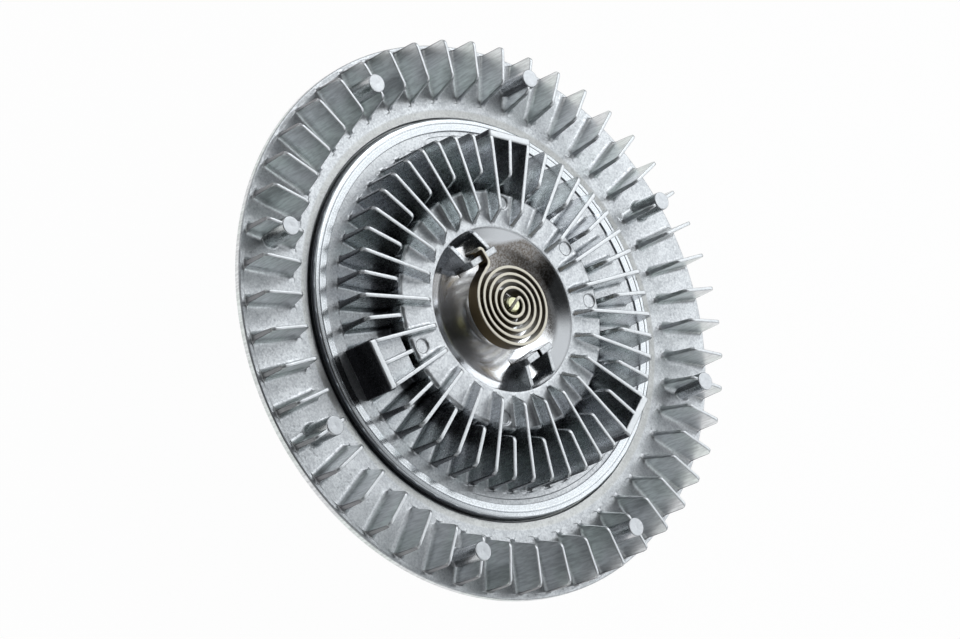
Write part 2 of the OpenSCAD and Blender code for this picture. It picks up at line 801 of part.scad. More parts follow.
module bearing_rear_shield() {
    shield(bearing_z + shield_step - shield_t);
}

housing();
front_cover();
cover_seal_ring();
pump_plate();
wiper();
valve_arm();
valve_spindle();
spindle_seal_ring();
bimetal_coil();
clutch_plate();
drive_shaft();
bearing_inner_ring();
bearing_outer_ring();
bearing_balls();
bearing_cage();
bearing_front_shield();
bearing_rear_shield();
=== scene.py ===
# %% [markdown]
# # A viscous fan clutch in Blender
# The object is the clutch between an engine's water pump and its cooling fan: two finned aluminium
# castings, a bimetal coil in a bowl on the front, and a steel shaft behind.
# The CAD part gives every place and size. This lesson dresses it: the castings and the coil are worked
# out again as smooth surfaces, and the turned and pressed pieces keep their CAD solids with new finishes.

import bpy
import numpy as np
from mathutils import Matrix, Vector


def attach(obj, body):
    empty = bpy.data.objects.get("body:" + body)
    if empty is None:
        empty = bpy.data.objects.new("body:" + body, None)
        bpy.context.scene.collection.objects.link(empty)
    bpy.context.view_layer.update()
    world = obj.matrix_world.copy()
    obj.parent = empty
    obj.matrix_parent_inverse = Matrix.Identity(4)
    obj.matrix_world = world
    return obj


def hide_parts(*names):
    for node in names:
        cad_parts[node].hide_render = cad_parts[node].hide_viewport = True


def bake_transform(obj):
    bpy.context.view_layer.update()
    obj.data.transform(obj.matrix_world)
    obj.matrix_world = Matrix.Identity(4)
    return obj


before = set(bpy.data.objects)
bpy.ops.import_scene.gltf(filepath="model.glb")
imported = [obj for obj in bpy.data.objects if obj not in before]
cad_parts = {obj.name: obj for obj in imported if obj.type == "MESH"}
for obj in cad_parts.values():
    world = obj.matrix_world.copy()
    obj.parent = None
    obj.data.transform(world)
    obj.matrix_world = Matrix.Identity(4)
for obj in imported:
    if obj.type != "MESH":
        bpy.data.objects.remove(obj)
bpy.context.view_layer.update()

# %% [markdown]
# All lengths below are in millimetres, as on a drawing, and turn into metres when a mesh is made.
# A mesh is put together from whole arrays: points as one table, faces as tables of point numbers.

# %% From arrays to a piece
MM = 0.001


def piece(name, points, faces, body, replaced):
    """Mesh object from an (n, 3) array of millimetres and a list of face index arrays, riding on a body.
    Prints its triangles and its volume: a sixth of the sum of the triangles' triple products."""
    p, tables = np.asarray(points).reshape(-1, 3), [np.atleast_2d(table) for table in faces]
    mesh = bpy.data.meshes.new(name)
    mesh.from_pydata((p * MM).tolist(), [], [row for table in tables for row in table.tolist()])
    mesh.polygons.foreach_set("use_smooth", np.ones(len(mesh.polygons), bool))
    mesh.update()
    made = bpy.data.objects.new(name, mesh)
    bpy.context.collection.objects.link(made)
    if body:
        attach(made, body)
    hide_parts(*replaced)
    triangles = sum(table.shape[0] * (table.shape[1] - 2) for table in tables)
    volume = sum((p[table[:, 0]] * np.cross(p[table[:, k]], p[table[:, k + 1]])).sum()
                 for table in tables for k in range(1, table.shape[1] - 1)) / 6
    print(name, triangles, "triangles", round(volume / 1000, 2), "cm3")
    return made


def weighted(made):
    """Lets the large faces set the shading, so that flats stay flat beside their small rounds."""
    modifier = made.modifiers.new("weighted_normals", "WEIGHTED_NORMAL")
    modifier.keep_sharp = True
    return made


def casting(name, points, faces, replaced):
    """Cast piece that turns with the drum and stands in for one CAD node."""
    return weighted(piece(name, points, faces, "drum", [replaced]))

# %% [markdown]
# Two kinds of grid come up again and again: one that closes on itself both ways, like a ring, and one that
# is open at its ends, like a tube. Sections are drawn as corners with a radius each, as on a drawing.

# %% Grids and rounded lines
def torus_faces(rows, columns):
    """Quads of a grid that closes on itself both ways: along its rows and along its columns."""
    r, c = np.meshgrid(np.arange(rows), np.arange(columns), indexing="ij")
    r2, c2 = (r + 1) % rows, (c + 1) % columns
    quads = np.stack([r * columns + c, r2 * columns + c, r2 * columns + c2, r * columns + c2], -1)
    return quads.reshape(-1, 4)


def tube_faces(rings, around):
    """Quads between open rings of points, each ring closed on itself."""
    r, c = np.meshgrid(np.arange(rings - 1), np.arange(around), indexing="ij")
    c2 = (c + 1) % around
    quads = np.stack([r * around + c, r * around + c2, (r + 1) * around + c2, (r + 1) * around + c], -1)
    return quads.reshape(-1, 4)


def rounded(corners, steps=4):
    """Line through [x, y, radius] corners, each corner an arc that touches both of its sides.
    The arc's centre lies on the line that halves the corner, radius / sin(half angle) from it."""
    table = np.asarray(corners, float)
    p, radius = table[:, :2], table[:, 2]
    to_last, to_next = np.roll(p, 1, 0) - p, np.roll(p, -1, 0) - p
    u = to_last / np.linalg.norm(to_last, axis=1)[:, None]
    v = to_next / np.linalg.norm(to_next, axis=1)[:, None]
    half = np.maximum(np.arccos(np.clip((u * v).sum(1), -1, 1)) / 2, 1e-6)
    middle = u + v
    middle /= np.maximum(np.linalg.norm(middle, axis=1), 1e-9)[:, None]
    centre = p + middle * (radius / np.sin(half))[:, None]
    start = p + u * (radius / np.tan(half))[:, None] - centre
    end = p + v * (radius / np.tan(half))[:, None] - centre
    first = np.arctan2(start[:, 1], start[:, 0])
    turn = (np.arctan2(end[:, 1], end[:, 0]) - first + 3 * np.pi) % (2 * np.pi) - np.pi
    angle = first[:, None] + turn[:, None] * np.linspace(0, 1, steps + 1)
    arc = centre[:, None] + radius[:, None, None] * np.stack([np.cos(angle), np.sin(angle)], -1)
    line = np.where((radius > 0)[:, None, None], arc, p[:, None]).reshape(-1, 2)
    return line[np.r_[True, np.linalg.norm(np.diff(line, axis=0), axis=1) > 1e-5]]

# %% [markdown]
# Heights and radii of the two castings, the same as in the CAD part.
# The pump face is z = 0 and the spin axis is Z.

# %% Sizes of the castings
LIP_R, LIP_TOP, DRUM_R, RIM_R = 72.6, 64.6, 77.8, 108.0
RIM_TOP, RIM_REAR, CHANNEL_Z = 62.0, 59.0, 60.5
FIN_TOP, FIN_IN, FIN_OUT, FIN_COUNT = 76.0, 86.0, 106.0, 48
DECK_Z, PLATEAU_Z, COVER_FIN_TOP, BOWL_Z = 64.0, 73.5, 79.7, 66.5
BOWL_R, BOWL_FLAT_R, COVER_FIN_OUT = 31.7, 12.0, 67.6
KNEE_R, KNEE_Z = 26.7, 69.5
REAR_Z, FAN_SEAT_Z, HUB_Z = 41.0, 30.0, 22.0
FIN_T, COVER_FIN_T, FIN_EDGE = 1.4, 1.6, 0.36
FIN_ROOT, COVER_ROOT, END_ROOT = 2.2, 1.5, 0.9
FIN_CORNER, END_IN, END_OUT = 2.4, 0.12, 0.08
FIN_STEP = 360 / FIN_COUNT
DRAFT = np.tan(np.radians(1.2))

# %% [markdown]
# A die-cast fin is a thin blade that leans in a little towards its top, so that it leaves the die, with
# small rounds on its edges and a larger round where it meets the floor.
# It could be a box with bevels, joined to the floor by a boolean, but then the roots stay sharp.
# Here floor and fins are one closed sheet: rows run along the casting's section, and columns run round
# it, sixteen to a fin. On each row the columns climb from the floor, up the root's round, up the side
# and over the top, so the sheet has no seams and every root is filled as in a real casting.

# %% One sheet for a finned ring
TOP_ROUND = np.radians([0, 45, 90])
ROOT_ROUND = np.radians([0, 30, 60, 90])
MOST_ROUND, WIDEST_FOOT, LEAST = 0.45, 0.9, 1e-6
WIDEST_STEP, NEAREST = 2.4, 0.05


def finned_sheet(section, fins, angles, z_top, t_top, root, edge, relief=None):
    """Points (rows, columns, 3) of a ring with fins.
    section: closed line of (radius, floor height); fins: (fins, rows, 2) height of each fin's outline and
    the radial part of its outward normal. Half thickness at height z is t_top / 2 + (z_top - z) * draft.
    Across a fin, the columns are the top's middle, a quarter round of the edge radius that sinks along the
    outline's normal, a quarter round of the root radius, and the gap's middle."""
    r, floor = section[:, 0], section[:, 1]
    top = np.maximum(fins[..., 0], floor)
    height = top - floor
    stands = height > LEAST
    lean = np.where(stands, fins[..., 1], 0)
    pitch = 2 * np.pi / len(angles)
    gap = pitch * r / 2
    e, f = np.minimum(edge, MOST_ROUND * height), np.minimum(root, MOST_ROUND * height)
    at_top = t_top / 2 + (z_top - top) * DRAFT
    at_foot = t_top / 2 + (z_top - floor) * DRAFT
    sink = np.stack([e * (1 - np.cos(a)) for a in TOP_ROUND], -1)
    over = np.stack([at_top - e + e * np.sin(a) for a in TOP_ROUND], -1)
    over_z = top[..., None] - sink * np.sqrt(1 - lean ** 2)[..., None]
    foot = np.stack([at_foot + f - f * np.cos(a) for a in ROOT_ROUND], -1)
    foot_z = np.stack([floor + f - f * np.sin(a) for a in ROOT_ROUND], -1)
    nothing = np.zeros_like(top)[..., None]
    wide = np.broadcast_to(gap, top.shape)[..., None]
    side = np.concatenate([nothing, over, foot, wide], -1)
    flat = np.broadcast_to(floor, top.shape)[..., None]
    side_z = np.concatenate([top[..., None], over_z, foot_z, flat], -1)
    straight = np.repeat(nothing, foot.shape[-1] + 1, -1)
    side_r = np.concatenate([nothing, -sink * lean[..., None], straight], -1)
    count = side.shape[-1] - 1
    even = wide * np.linspace(0, 1, count + 1)
    limit = wide * np.linspace(WIDEST_FOOT, 1, count + 1)
    side = np.where(stands[..., None], np.minimum(side, limit), even)
    across = np.concatenate([-side[..., :0:-1], side[..., :-1]], -1)
    z = np.concatenate([side_z[..., :0:-1], side_z[..., :-1]], -1)
    out = r[:, None] + np.concatenate([side_r[..., :0:-1], side_r[..., :-1]], -1)
    phi = angles[:, None, None] + np.arcsin(np.clip(across / out, -1, 1))
    phi[..., 0] = angles[:, None] - pitch / 2
    if relief:
        share = np.where(stands[..., None], (top[..., None] - z) / np.maximum(height, LEAST)[..., None], 1)
        z = z + relief(out, phi) * np.clip(share, 0, 1)
    points = np.stack([out * np.cos(phi), out * np.sin(phi), z], -1)
    return points.transpose(1, 0, 2, 3).reshape(len(r), -1, 3)


def fin_outline(r0, r1, floor, top, root, lean=4.0):
    """Outline of a fin in (radius, height), from the floor before it to the floor after it.
    The inner edge leans out by lean, and the outer end stands nearly upright."""
    return rounded([[r0 - 3, floor, 0], [r0, floor, root], [r0 + lean, top, FIN_CORNER],
                    [r1 - END_IN, top, FIN_CORNER], [r1 + END_OUT, floor, min(root, END_ROOT)],
                    [r1 + 1.2, floor, 0]], 4)


def outline_at(line, section, part):
    """Height of an outline and the radial part of its outward normal at the rows of a part of the section.
    A point's normal is square to the mean of its two neighbouring steps."""
    step = np.diff(line, axis=0)
    square = np.stack([-step[:, 1], step[:, 0]], -1) / np.linalg.norm(step, axis=1)[:, None]
    square = np.concatenate([square[:1], square[:-1] + square[1:], square[-1:]])
    square /= np.linalg.norm(square, axis=1)[:, None]
    made = np.tile([-1e3, 0.0], (len(section), 1))
    made[part, 0] = np.interp(section[part, 0], line[:, 0], line[:, 1])
    made[part, 1] = np.interp(section[part, 0], line[:, 0], square[:, 0])
    return made


def rows_for(*lines, first, last):
    """Sorted radii between first and last at which any of the lines has a point, near ones dropped."""
    every = np.unique(np.concatenate([line[:, 0] for line in lines] + [np.arange(first, last, WIDEST_STEP)]))
    every = every[(every >= first) & (every <= last)]
    return every[np.r_[True, np.diff(every) > NEAREST]]

# %% [markdown]
# The drum's rim: a thin ring with 48 fins, a shallow channel beside the rolled lip, and a large round
# behind, where it grows out of the drum.

# %% Rim with its fins
JOIN_R, JOIN_IN, JOIN_Z, RIM_FLOOR_OUT, RIM_EDGE = 77.82, 77.3, 54.3, 107.2, 0.75
rim_line = fin_outline(FIN_IN, FIN_OUT, RIM_TOP, FIN_TOP, FIN_ROOT)
rim_radii = rows_for(rim_line, first=82.7, last=RIM_FLOOR_OUT)
rim_front = np.stack([rim_radii, np.full(len(rim_radii), RIM_TOP)], -1)
rim_inside = rounded([[JOIN_IN, CHANNEL_Z, 0], [78.45, CHANNEL_Z, 0.15], [78.75, 61.7, 0.5],
                      [82.0, RIM_TOP, 1.6], [82.65, RIM_TOP, 0]])
rim_behind = rounded([[RIM_FLOOR_OUT, RIM_TOP, 0], [RIM_R, RIM_TOP, RIM_EDGE], [RIM_R, RIM_REAR, RIM_EDGE],
                      [JOIN_R, RIM_REAR, 4], [JOIN_R, JOIN_Z, 0], [JOIN_IN, JOIN_Z, 0]], 6)
rim_section = np.concatenate([rim_inside, rim_front, rim_behind[1:]])
on_floor = slice(len(rim_inside), len(rim_inside) + len(rim_front))
rim_angles = np.arange(FIN_COUNT) * 2 * np.pi / FIN_COUNT
rim_fins = np.tile(outline_at(rim_line, rim_section, on_floor), (FIN_COUNT, 1, 1))
rim_points = finned_sheet(rim_section, rim_fins, rim_angles, FIN_TOP, FIN_T, FIN_ROOT, FIN_EDGE)
drum_rim = casting("drum_rim", rim_points, [torus_faces(*rim_points.shape[:2])], "housing")

# %% [markdown]
# Turned and cast round forms are spun: a closed section of (radius, height) goes round the axis.
# A post's or a boss's axis stands beside the main one, so the same function takes places for it.

# %% Spun forms
def at_places(ring, places):
    """Points and quads of a closed ring of points, (rows, around, 3), set down at each place."""
    rows, around = ring.shape[:2]
    spots = np.c_[np.asarray(places, float), np.zeros(len(places))]
    points = (ring[None] + spots[:, None, None]).reshape(-1, 3)
    shift = np.arange(len(places))[:, None, None] * rows * around
    return points, (torus_faces(rows, around)[None] + shift).reshape(-1, 4)


def spun(section, around=192, places=((0, 0),)):
    """Points and quads of a closed (radius, height) section carried round an upright axis at each place."""
    phi = np.arange(around) * 2 * np.pi / around
    ring = np.stack([section[:, :1] * np.cos(phi), section[:, :1] * np.sin(phi),
                     section[:, 1:] + 0 * phi], -1)
    return at_places(ring, places)


def ring_places(radius, angles):
    """Places on a circle, angles in degrees."""
    a = np.radians(angles)
    return np.stack([radius * np.cos(a), radius * np.sin(a)], -1)

# %% [markdown]
# Behind the rim the drum is a cup: hub, rear wall, side wall and the thin wall rolled over the cover.
# Inside are the concentric lands that the fluid shears between.

# %% Drum shell
LANDS, LAND_W, LAND_H = 48.0 + 4.0 * np.arange(5), 1.5, 3.9


def lands(z, rise):
    """Square lands along a face, from the axis outwards."""
    corners = [[[r, z, 0], [r, z + rise, 0], [r + LAND_W, z + rise, 0], [r + LAND_W, z, 0]] for r in LANDS]
    return [corner for land in corners for corner in land]


shell_section = rounded(
    [[32.5, HUB_Z, 0], [19.0, HUB_Z, 0], [19.0, 24, 0], [23.525, 24, 0], [23.525, 45.2, 0], [24.325, 46, 0]]
    + lands(46.0, LAND_H)
    + [[71, 46, 0], [71, 60, 0], [DRUM_R, 60, 0], [DRUM_R, 42.5, 0], [36.8, 42.5, 0], [36.8, 38, 0],
       [37.3, 38, 0], [37.3, FAN_SEAT_Z, 0.3], [33.3, FAN_SEAT_Z, 0.3], [33.3, 22.8, 0]], 4)
points, quads = spun(shell_section)
drum_shell = casting("drum_shell", points, [quads], "housing")

groove_z = LIP_TOP - 0.3
lip_section = rounded([[LIP_R, DECK_Z, 0], [LIP_R, LIP_TOP, 0.3], [75.45, LIP_TOP, 0.1], [75.55, groove_z, 0],
                       [75.75, groove_z, 0], [75.85, LIP_TOP - 0.06, 0.1], [DRUM_R, LIP_TOP - 0.16, 0.9],
                       [DRUM_R + 0.05, 59.8, 0], [74.5, 59.8, 0], [74.5, DECK_Z, 0]], 5)
points, quads = spun(lip_section, 384)
rolled_lip = casting("rolled_lip", points, [quads], "housing")

# %% [markdown]
# The rear wall carries 24 low ribs that stiffen it and shed heat. It is the same kind of sheet as the rim,
# made facing up and then turned over by changing the sign of its heights.

# %% Ribbed rear wall
RIB_COUNT, RIB_H, RIB_OUT, RIB_T, RIB_ROOT, RIB_EDGE = 24, 5.0, 70.0, 1.7, 1.2, 0.45
rib_line = rounded([[30.0, RIB_H, 0], [65.0, RIB_H, 2], [RIB_OUT, 0, RIB_ROOT], [72, 0, 0]], 5) - [0, REAR_Z]
rib_radii = rows_for(rib_line, first=37.0, last=70.9)
rear_floor = np.stack([rib_radii, np.full(len(rib_radii), -REAR_Z)], -1)
rear_side = rounded([[70.95, -REAR_Z, 0], [JOIN_R, -REAR_Z, 5], [JOIN_R, -56, 0], [JOIN_IN, -56, 0],
                     [JOIN_IN, -43, 0], [37.0, -43, 0]], 6)
rear_section = np.concatenate([rear_floor, rear_side])
rib_angles = (np.arange(RIB_COUNT) + 0.5) * 2 * np.pi / RIB_COUNT
ribs = np.tile(outline_at(rib_line, rear_section, slice(len(rib_radii))), (RIB_COUNT, 1, 1))
rear_points = finned_sheet(rear_section, ribs, rib_angles, RIB_H - REAR_Z, RIB_T, RIB_ROOT, RIB_EDGE)
rear_faces = torus_faces(*rear_points.shape[:2])[:, ::-1]
drum_rear = casting("drum_rear", rear_points * [1, 1, -1], [rear_faces], "housing")

# %% [markdown]
# Eight round posts stand among the fins. In the die, ejector pins push on their tops to free the casting.

# %% Ejector posts
POST_RING, POST_TOP = 96.0, 76.4
post_section = rounded([[0.02, 61, 0], [5.2, 61, 0], [5.2, 61.98, 0], [3.9, 61.98, 1.25],
                        [3.6, POST_TOP, 0.45], [0.02, POST_TOP, 0]], 4)
points, quads = spun(post_section[::-1], 40, ring_places(POST_RING, 45 * np.arange(8)))
ejector_posts = casting("ejector_posts", points, [quads], "housing")

# %% [markdown]
# Behind, four bosses take the fan's bolts. Their holes are tapped, so the wall of each hole is a thread:
# its radius goes up and down once per pitch along the hole, and one pitch further with each turn.

# %% Fan bosses
BOLT_RING, BOSS_FACE, BOSS_AROUND = 43.0, 30.03, 48
BORE, PITCH, CREST, CHAMFER, HOLE_DEEP, HOLE_ROWS = 3.4, 1.25, 0.55, 0.9, 12.0, 81


def tapped_boss(places):
    """Bosses with a tapped hole, opening downwards. The hole's radius at height z and angle a is the bore
    plus crest times a triangle wave of z / pitch - a / 360 degrees, which fades out at both ends."""
    outer = rounded([[0.02, 43.5, 0], [11.5, 43.5, 0], [11.5, 41.02, 0], [10.6, 41.02, 0.9],
                     [10.45, BOSS_FACE, 0.5], [4.3, BOSS_FACE, 0]], 4)
    down = np.linspace(0, 1, HOLE_ROWS)
    hole_z = BOSS_FACE + CHAMFER + down * (HOLE_DEEP - CHAMFER)
    hole = np.stack([np.full(HOLE_ROWS, BORE), hole_z], -1)
    section = np.concatenate([outer, [[BORE + 0.75, BOSS_FACE + 0.05]], hole, [[0.02, 43.0]]])
    phi = np.arange(BOSS_AROUND) * 2 * np.pi / BOSS_AROUND
    r, z = section[:, :1] + 0 * phi, section[:, 1:] + 0 * phi
    wave = np.abs((z / PITCH - phi / (2 * np.pi)) % 1 * 2 - 1)
    inside = np.zeros(len(section))
    inside[len(outer) + 1:-1] = np.clip(np.minimum(down * 20 + 0.4, (0.9 - down) * 20), 0, 1)
    r = r + CREST * (wave - 0.25) * inside[:, None]
    return at_places(np.stack([r * np.cos(phi), r * np.sin(phi), z], -1), places)


points, quads = tapped_boss(ring_places(BOLT_RING, 45 + 90 * np.arange(4)))
fan_bosses = casting("fan_bosses", points, [quads], "housing")

# %% [markdown]
# The front cover's floor has a relief: one half of its deck is a little thicker, and the raised middle has
# round marks left by ejector pins. In the bowl, the floor behind each lug is level.

# %% Relief of the cover
MARK_ANGLES, MARK_R, MARK_D, MARK_DEEP = [-7.5, 52.5, 157.5, 187.5, 232.5], 42.35, 5.5, 0.5
PAD_FROM, PAD_SPAN, PAD_IN, PAD_OUT, PAD_ROUND, PAD_RISE = 44, 213, 47.4, 70.7, 3, 0.6
LUG_FLOOR_Z, LUG_FROM, LUG_TO, LUG_HALF = 69.5, 20.5, 28.9, 6.5
bowl_line = rounded([[9.0, BOWL_Z, 0], [BOWL_FLAT_R, BOWL_Z, 12], [KNEE_R, KNEE_Z, 3], [BOWL_R, 73.1, 0]], 6)


def dish(r):
    """Bowl of the cover: flat in the middle, a gentle slope, and a steep side from the knee to the edge."""
    return np.interp(r, bowl_line[:, 0], bowl_line[:, 1])


def soft_step(x, width):
    """0 to 1 across the given width, centred on x = 0, level at both ends."""
    t = np.clip(x / width + 0.5, 0, 1)
    return t * t * (3 - 2 * t)


def cover_relief(r, phi):
    """Rise of the thick half of the deck, less the sunk ejector marks. Between each lug's gussets the bowl
    is brought to one level: by the lug's mask times what the level lies above the bowl."""
    turn = (np.degrees(phi) - PAD_FROM) % 360
    along = np.minimum(turn, PAD_SPAN - turn) * np.pi / 180 * r
    out = PAD_OUT - r
    corner = PAD_ROUND - np.hypot(np.clip(PAD_ROUND - along, 0, None), np.clip(PAD_ROUND - out, 0, None))
    edge = np.minimum(np.minimum(along, out), corner)
    pad = PAD_RISE * soft_step(edge, 0.5) * soft_step(r - PAD_IN, 0.7)
    a = np.radians(np.asarray(MARK_ANGLES))[:, None, None, None]
    away = np.sqrt(r ** 2 + MARK_R ** 2 - 2 * r * MARK_R * np.cos(phi - a)).min(0)
    marks = MARK_DEEP * soft_step(MARK_D / 2 - away, 0.35)
    out, side = np.abs(r * np.sin(phi)), np.abs(r * np.cos(phi))
    lug = soft_step(out - LUG_FROM, 0.6) * soft_step(LUG_TO - out, 0.5) * soft_step(LUG_HALF - side, 0.6)
    return pad - marks + lug * (LUG_FLOOR_Z - dish(r))

# %% [markdown]
# The cover has 24 long fins that run up onto its raised middle, with a short one in each gap.
# The floor of the sheet now steps: bowl, raised middle, wall, deck. All fins share its rows.

# %% Cover with its fins
EDGE_R, COVER_UNDER = 74.45, 61.0
cover_floor = rounded([[32.2, PLATEAU_Z, 0], [46.5, PLATEAU_Z, 1.5], [47.5, DECK_Z, 2.0],
                       [EDGE_R, DECK_Z, 0]], 6)
long_line = rounded([[30, PLATEAU_Z, 0], [33.5, PLATEAU_Z, END_ROOT], [37.5, COVER_FIN_TOP, FIN_CORNER],
                     [COVER_FIN_OUT - END_IN, COVER_FIN_TOP, FIN_CORNER],
                     [COVER_FIN_OUT + END_OUT, DECK_Z, END_ROOT], [72, DECK_Z, 0]], 4)
short_line = fin_outline(46.3, COVER_FIN_OUT, DECK_Z, COVER_FIN_TOP, END_ROOT, lean=4.7)
mark_rows = np.r_[np.arange(39.4, 45.4, 0.6), np.arange(70.3, 71.2, 0.2)][:, None]
cover_radii = rows_for(cover_floor, long_line, short_line, mark_rows, first=32.3, last=74.4)
cover_front = np.stack([cover_radii, np.interp(cover_radii, cover_floor[:, 0], cover_floor[:, 1])], -1)
bowl_radii = np.r_[np.linspace(12.6, 27.4, 9), np.linspace(28.4, 31.65, 8)]
cover_middle = np.concatenate([
    rounded([[4.55, 60.8, 0], [4.55, 70.5, 0.2], [9.05, 70.5, 0.6], [9.05, BOWL_Z, 1.0], [12, BOWL_Z, 0]], 3),
    np.stack([bowl_radii, dish(bowl_radii)], -1), [[31.85, 73.25], [32.05, 73.43]]])
cover_behind = rounded([[EDGE_R, DECK_Z, 0.3], [EDGE_R, COVER_UNDER, 0], [44.0, COVER_UNDER, 0],
                        [44.0, 70.6, 0], [BOWL_R, 70.6, 0], [23.7, 64.6, 0], [5.0, 64.6, 0],
                        [5.0, 60.8, 0]], 3)
cover_section = np.concatenate([cover_middle, cover_front, cover_behind])
spread = slice(len(cover_middle), len(cover_middle) + len(cover_front))
pair = [outline_at(line, cover_section, spread) for line in (long_line, short_line)]
cover_fins = np.stack(pair * (FIN_COUNT // 2))
cover_points = finned_sheet(cover_section, cover_fins, rim_angles, COVER_FIN_TOP, COVER_FIN_T, COVER_ROOT,
                            FIN_EDGE, cover_relief)
cover_sheet = casting("cover_sheet", cover_points, [torus_faces(*cover_points.shape[:2])], "front_cover")

# %% [markdown]
# Behind, the cover is turned: the space for the fluid, the seat of its plate and a second set of lands.
# It never shows, so it is a plain spun ring of its own with fewer points, which joins the sheet inside.

# %% Back of the cover
back_section = rounded(
    [[4.7, 64.8, 0], [23.7, 64.8, 0], [31.7, 70.8, 0], [44.2, 70.8, 0], [44.2, 61.2, 0], [74.4, 61.2, 0],
     [74.4, 60, 0], [70.95, 60, 0], [70.95, 58, 0]] + lands(58.0, -LAND_H)[::-1]
    + [[46.6, 58, 0], [46.6, 59.2, 0], [42.5, 59.2, 0], [42.5, 69, 2], [31.7, 69, 2], [23.7, 63, 2],
       [9.05, 63, 0], [9.05, 60.8, 0], [4.7, 60.8, 0]], 3)
points, quads = spun(back_section)
cover_back = casting("cover_back", points, [quads], "front_cover")

# %% [markdown]
# Flat cast walls stand on the cover. Each is an outline carried through its thickness, drawn in a little
# at both faces so that its edges are round, then moved and turned to its place.

# %% Flat walls
def wall(outline, thick, edge=0.4):
    """Closed plate: the outline in (x, z) at a row of places across y, drawn in near both faces by
    edge * (1 - sin a) while the place goes edge * (1 - cos a) in from the face."""
    line = np.asarray(outline, float)
    ahead = np.roll(line, -1, 0) - np.roll(line, 1, 0)
    inward = np.stack([-ahead[:, 1], ahead[:, 0]], -1)
    inward /= np.linalg.norm(inward, axis=1)[:, None]
    a = ROOT_ROUND
    draw = np.r_[edge * (1 - np.sin(a)), edge * (1 - np.sin(a[::-1]))]
    place = np.r_[thick / 2 - edge * (1 - np.cos(a)), -thick / 2 + edge * (1 - np.cos(a[::-1]))]
    flat = line[None] + inward[None] * draw[:, None, None]
    y = np.repeat(place[:, None], len(line), 1)
    return np.stack([flat[..., 0], y, flat[..., 1]], -1)


def wall_faces(rings, around):
    """Faces of such a plate: its rim as quads and its two faces as one polygon each."""
    quads = tube_faces(rings, around)
    return [quads, [np.arange(around)[::-1]], [np.arange(around) + (rings - 1) * around]]


def turned(points, angle, x=0.0, y=0.0):
    """Points moved by (x, y) and then turned about the axis by an angle in degrees."""
    a = np.radians(angle)
    px, py = points[..., 0] + x, points[..., 1] + y
    return np.stack([px * np.cos(a) - py * np.sin(a), px * np.sin(a) + py * np.cos(a), points[..., 2]], -1)


def across_to_radial(points):
    """A quarter turn about the axis, so that a plate drawn along x stands square to the radius."""
    return np.stack([points[..., 1], -points[..., 0], points[..., 2]], -1)


def joined(plates):
    """Points and faces of several plates as one piece: each plate's faces count on from the plates before."""
    starts = np.cumsum([0] + [made[..., 0].size for made in plates])
    faces = [np.asarray(table) + start for made, start in zip(plates, starts)
             for table in wall_faces(*made.shape[:2])]
    return np.concatenate([made.reshape(-1, 3) for made in plates]), faces

# %% [markdown]
# Three walls, a third of a turn apart, each close a pocket between two long fins and lie over their outer
# ends. The first pocket has a raised floor: a slab, drawn in plan and laid flat by a quarter turn.

# %% Pocket walls
POCKET_ANGLES, POCKET_R, POCKET_T = [-7.5, 112.5, 232.5], COVER_FIN_OUT + 0.7, 3.1
POCKET_FOOT, POCKET_TOP, POCKET_CORNER, POCKET_EDGE = 63, 79.6, 1.2, 0.7
SLAB_TOP, SLAB_T, SLAB_IN, SLAB_OUT = 71.5, 9.0, 48.3, 66
half = COVER_FIN_OUT * np.sin(np.radians(FIN_STEP)) + 1.1
pocket_outline = rounded([[-half, POCKET_FOOT, 0], [half, POCKET_FOOT, 0], [half, POCKET_TOP, POCKET_CORNER],
                          [-half, POCKET_TOP, POCKET_CORNER]], 3)
pocket = across_to_radial(wall(pocket_outline, POCKET_T, POCKET_EDGE))
slab_outline = rounded([[SLAB_IN, -5.9, 0.5], [SLAB_OUT, -8.3, 0], [SLAB_OUT, 8.3, 0],
                        [SLAB_IN, 5.9, 0.5]], 3)
slab = wall(slab_outline, SLAB_T)
slab = np.stack([slab[..., 0], -slab[..., 2], slab[..., 1] + SLAB_TOP - SLAB_T / 2], -1)
points, faces = joined([turned(pocket, angle, POCKET_R - POCKET_T / 2) for angle in POCKET_ANGLES]
                       + [turned(slab, POCKET_ANGLES[0])])
pocket_wall = casting("pocket_wall", points, faces, "front_cover")

# %% [markdown]
# Two lugs in the bowl guard the coil. Each is a slotted cross wall on two gussets, and the slot of one of
# them holds the coil's tail.

# %% Lugs
LUG_R, LUG_T, LUG_W, LUG_FOOT, LUG_TOP = 19.5, 2.6, 15.0, 65.5, 79.0
GUSSET_T, GUSSET_TOP, SLOT_Z, SLOT_HALF = 2.0, 76.2, 74.55, 0.65
h, lug_in, lug_out = LUG_W / 2, LUG_R + 0.6, np.sqrt((BOWL_R - 0.6) ** 2 - (LUG_W / 2) ** 2)
cross_outline = rounded([[-h, LUG_FOOT, 0], [h, LUG_FOOT, 0], [h, LUG_TOP, 1.1], [SLOT_HALF, LUG_TOP, 0.3],
                         [SLOT_HALF, SLOT_Z, 0.1], [-SLOT_HALF, SLOT_Z, 0.1], [-SLOT_HALF, LUG_TOP, 0.3],
                         [-h, LUG_TOP, 1.1]], 4)
gusset_outline = rounded([[lug_in, LUG_FOOT, 0], [lug_out, LUG_FOOT, 0], [lug_out, PLATEAU_Z - 0.1, 0.8],
                          [LUG_R + LUG_T + 1, GUSSET_TOP, 2.0], [lug_in, GUSSET_TOP, 0]], 4)
gusset_y = (LUG_W - GUSSET_T) / 2 - 0.02
cross, gusset = across_to_radial(wall(cross_outline, LUG_T)), wall(gusset_outline, GUSSET_T)
points, faces = joined([made for angle in (90, 270) for made in (
    turned(cross, angle, LUG_R + LUG_T / 2), turned(gusset, angle, 0, gusset_y),
    turned(gusset, angle, 0, -gusset_y))])
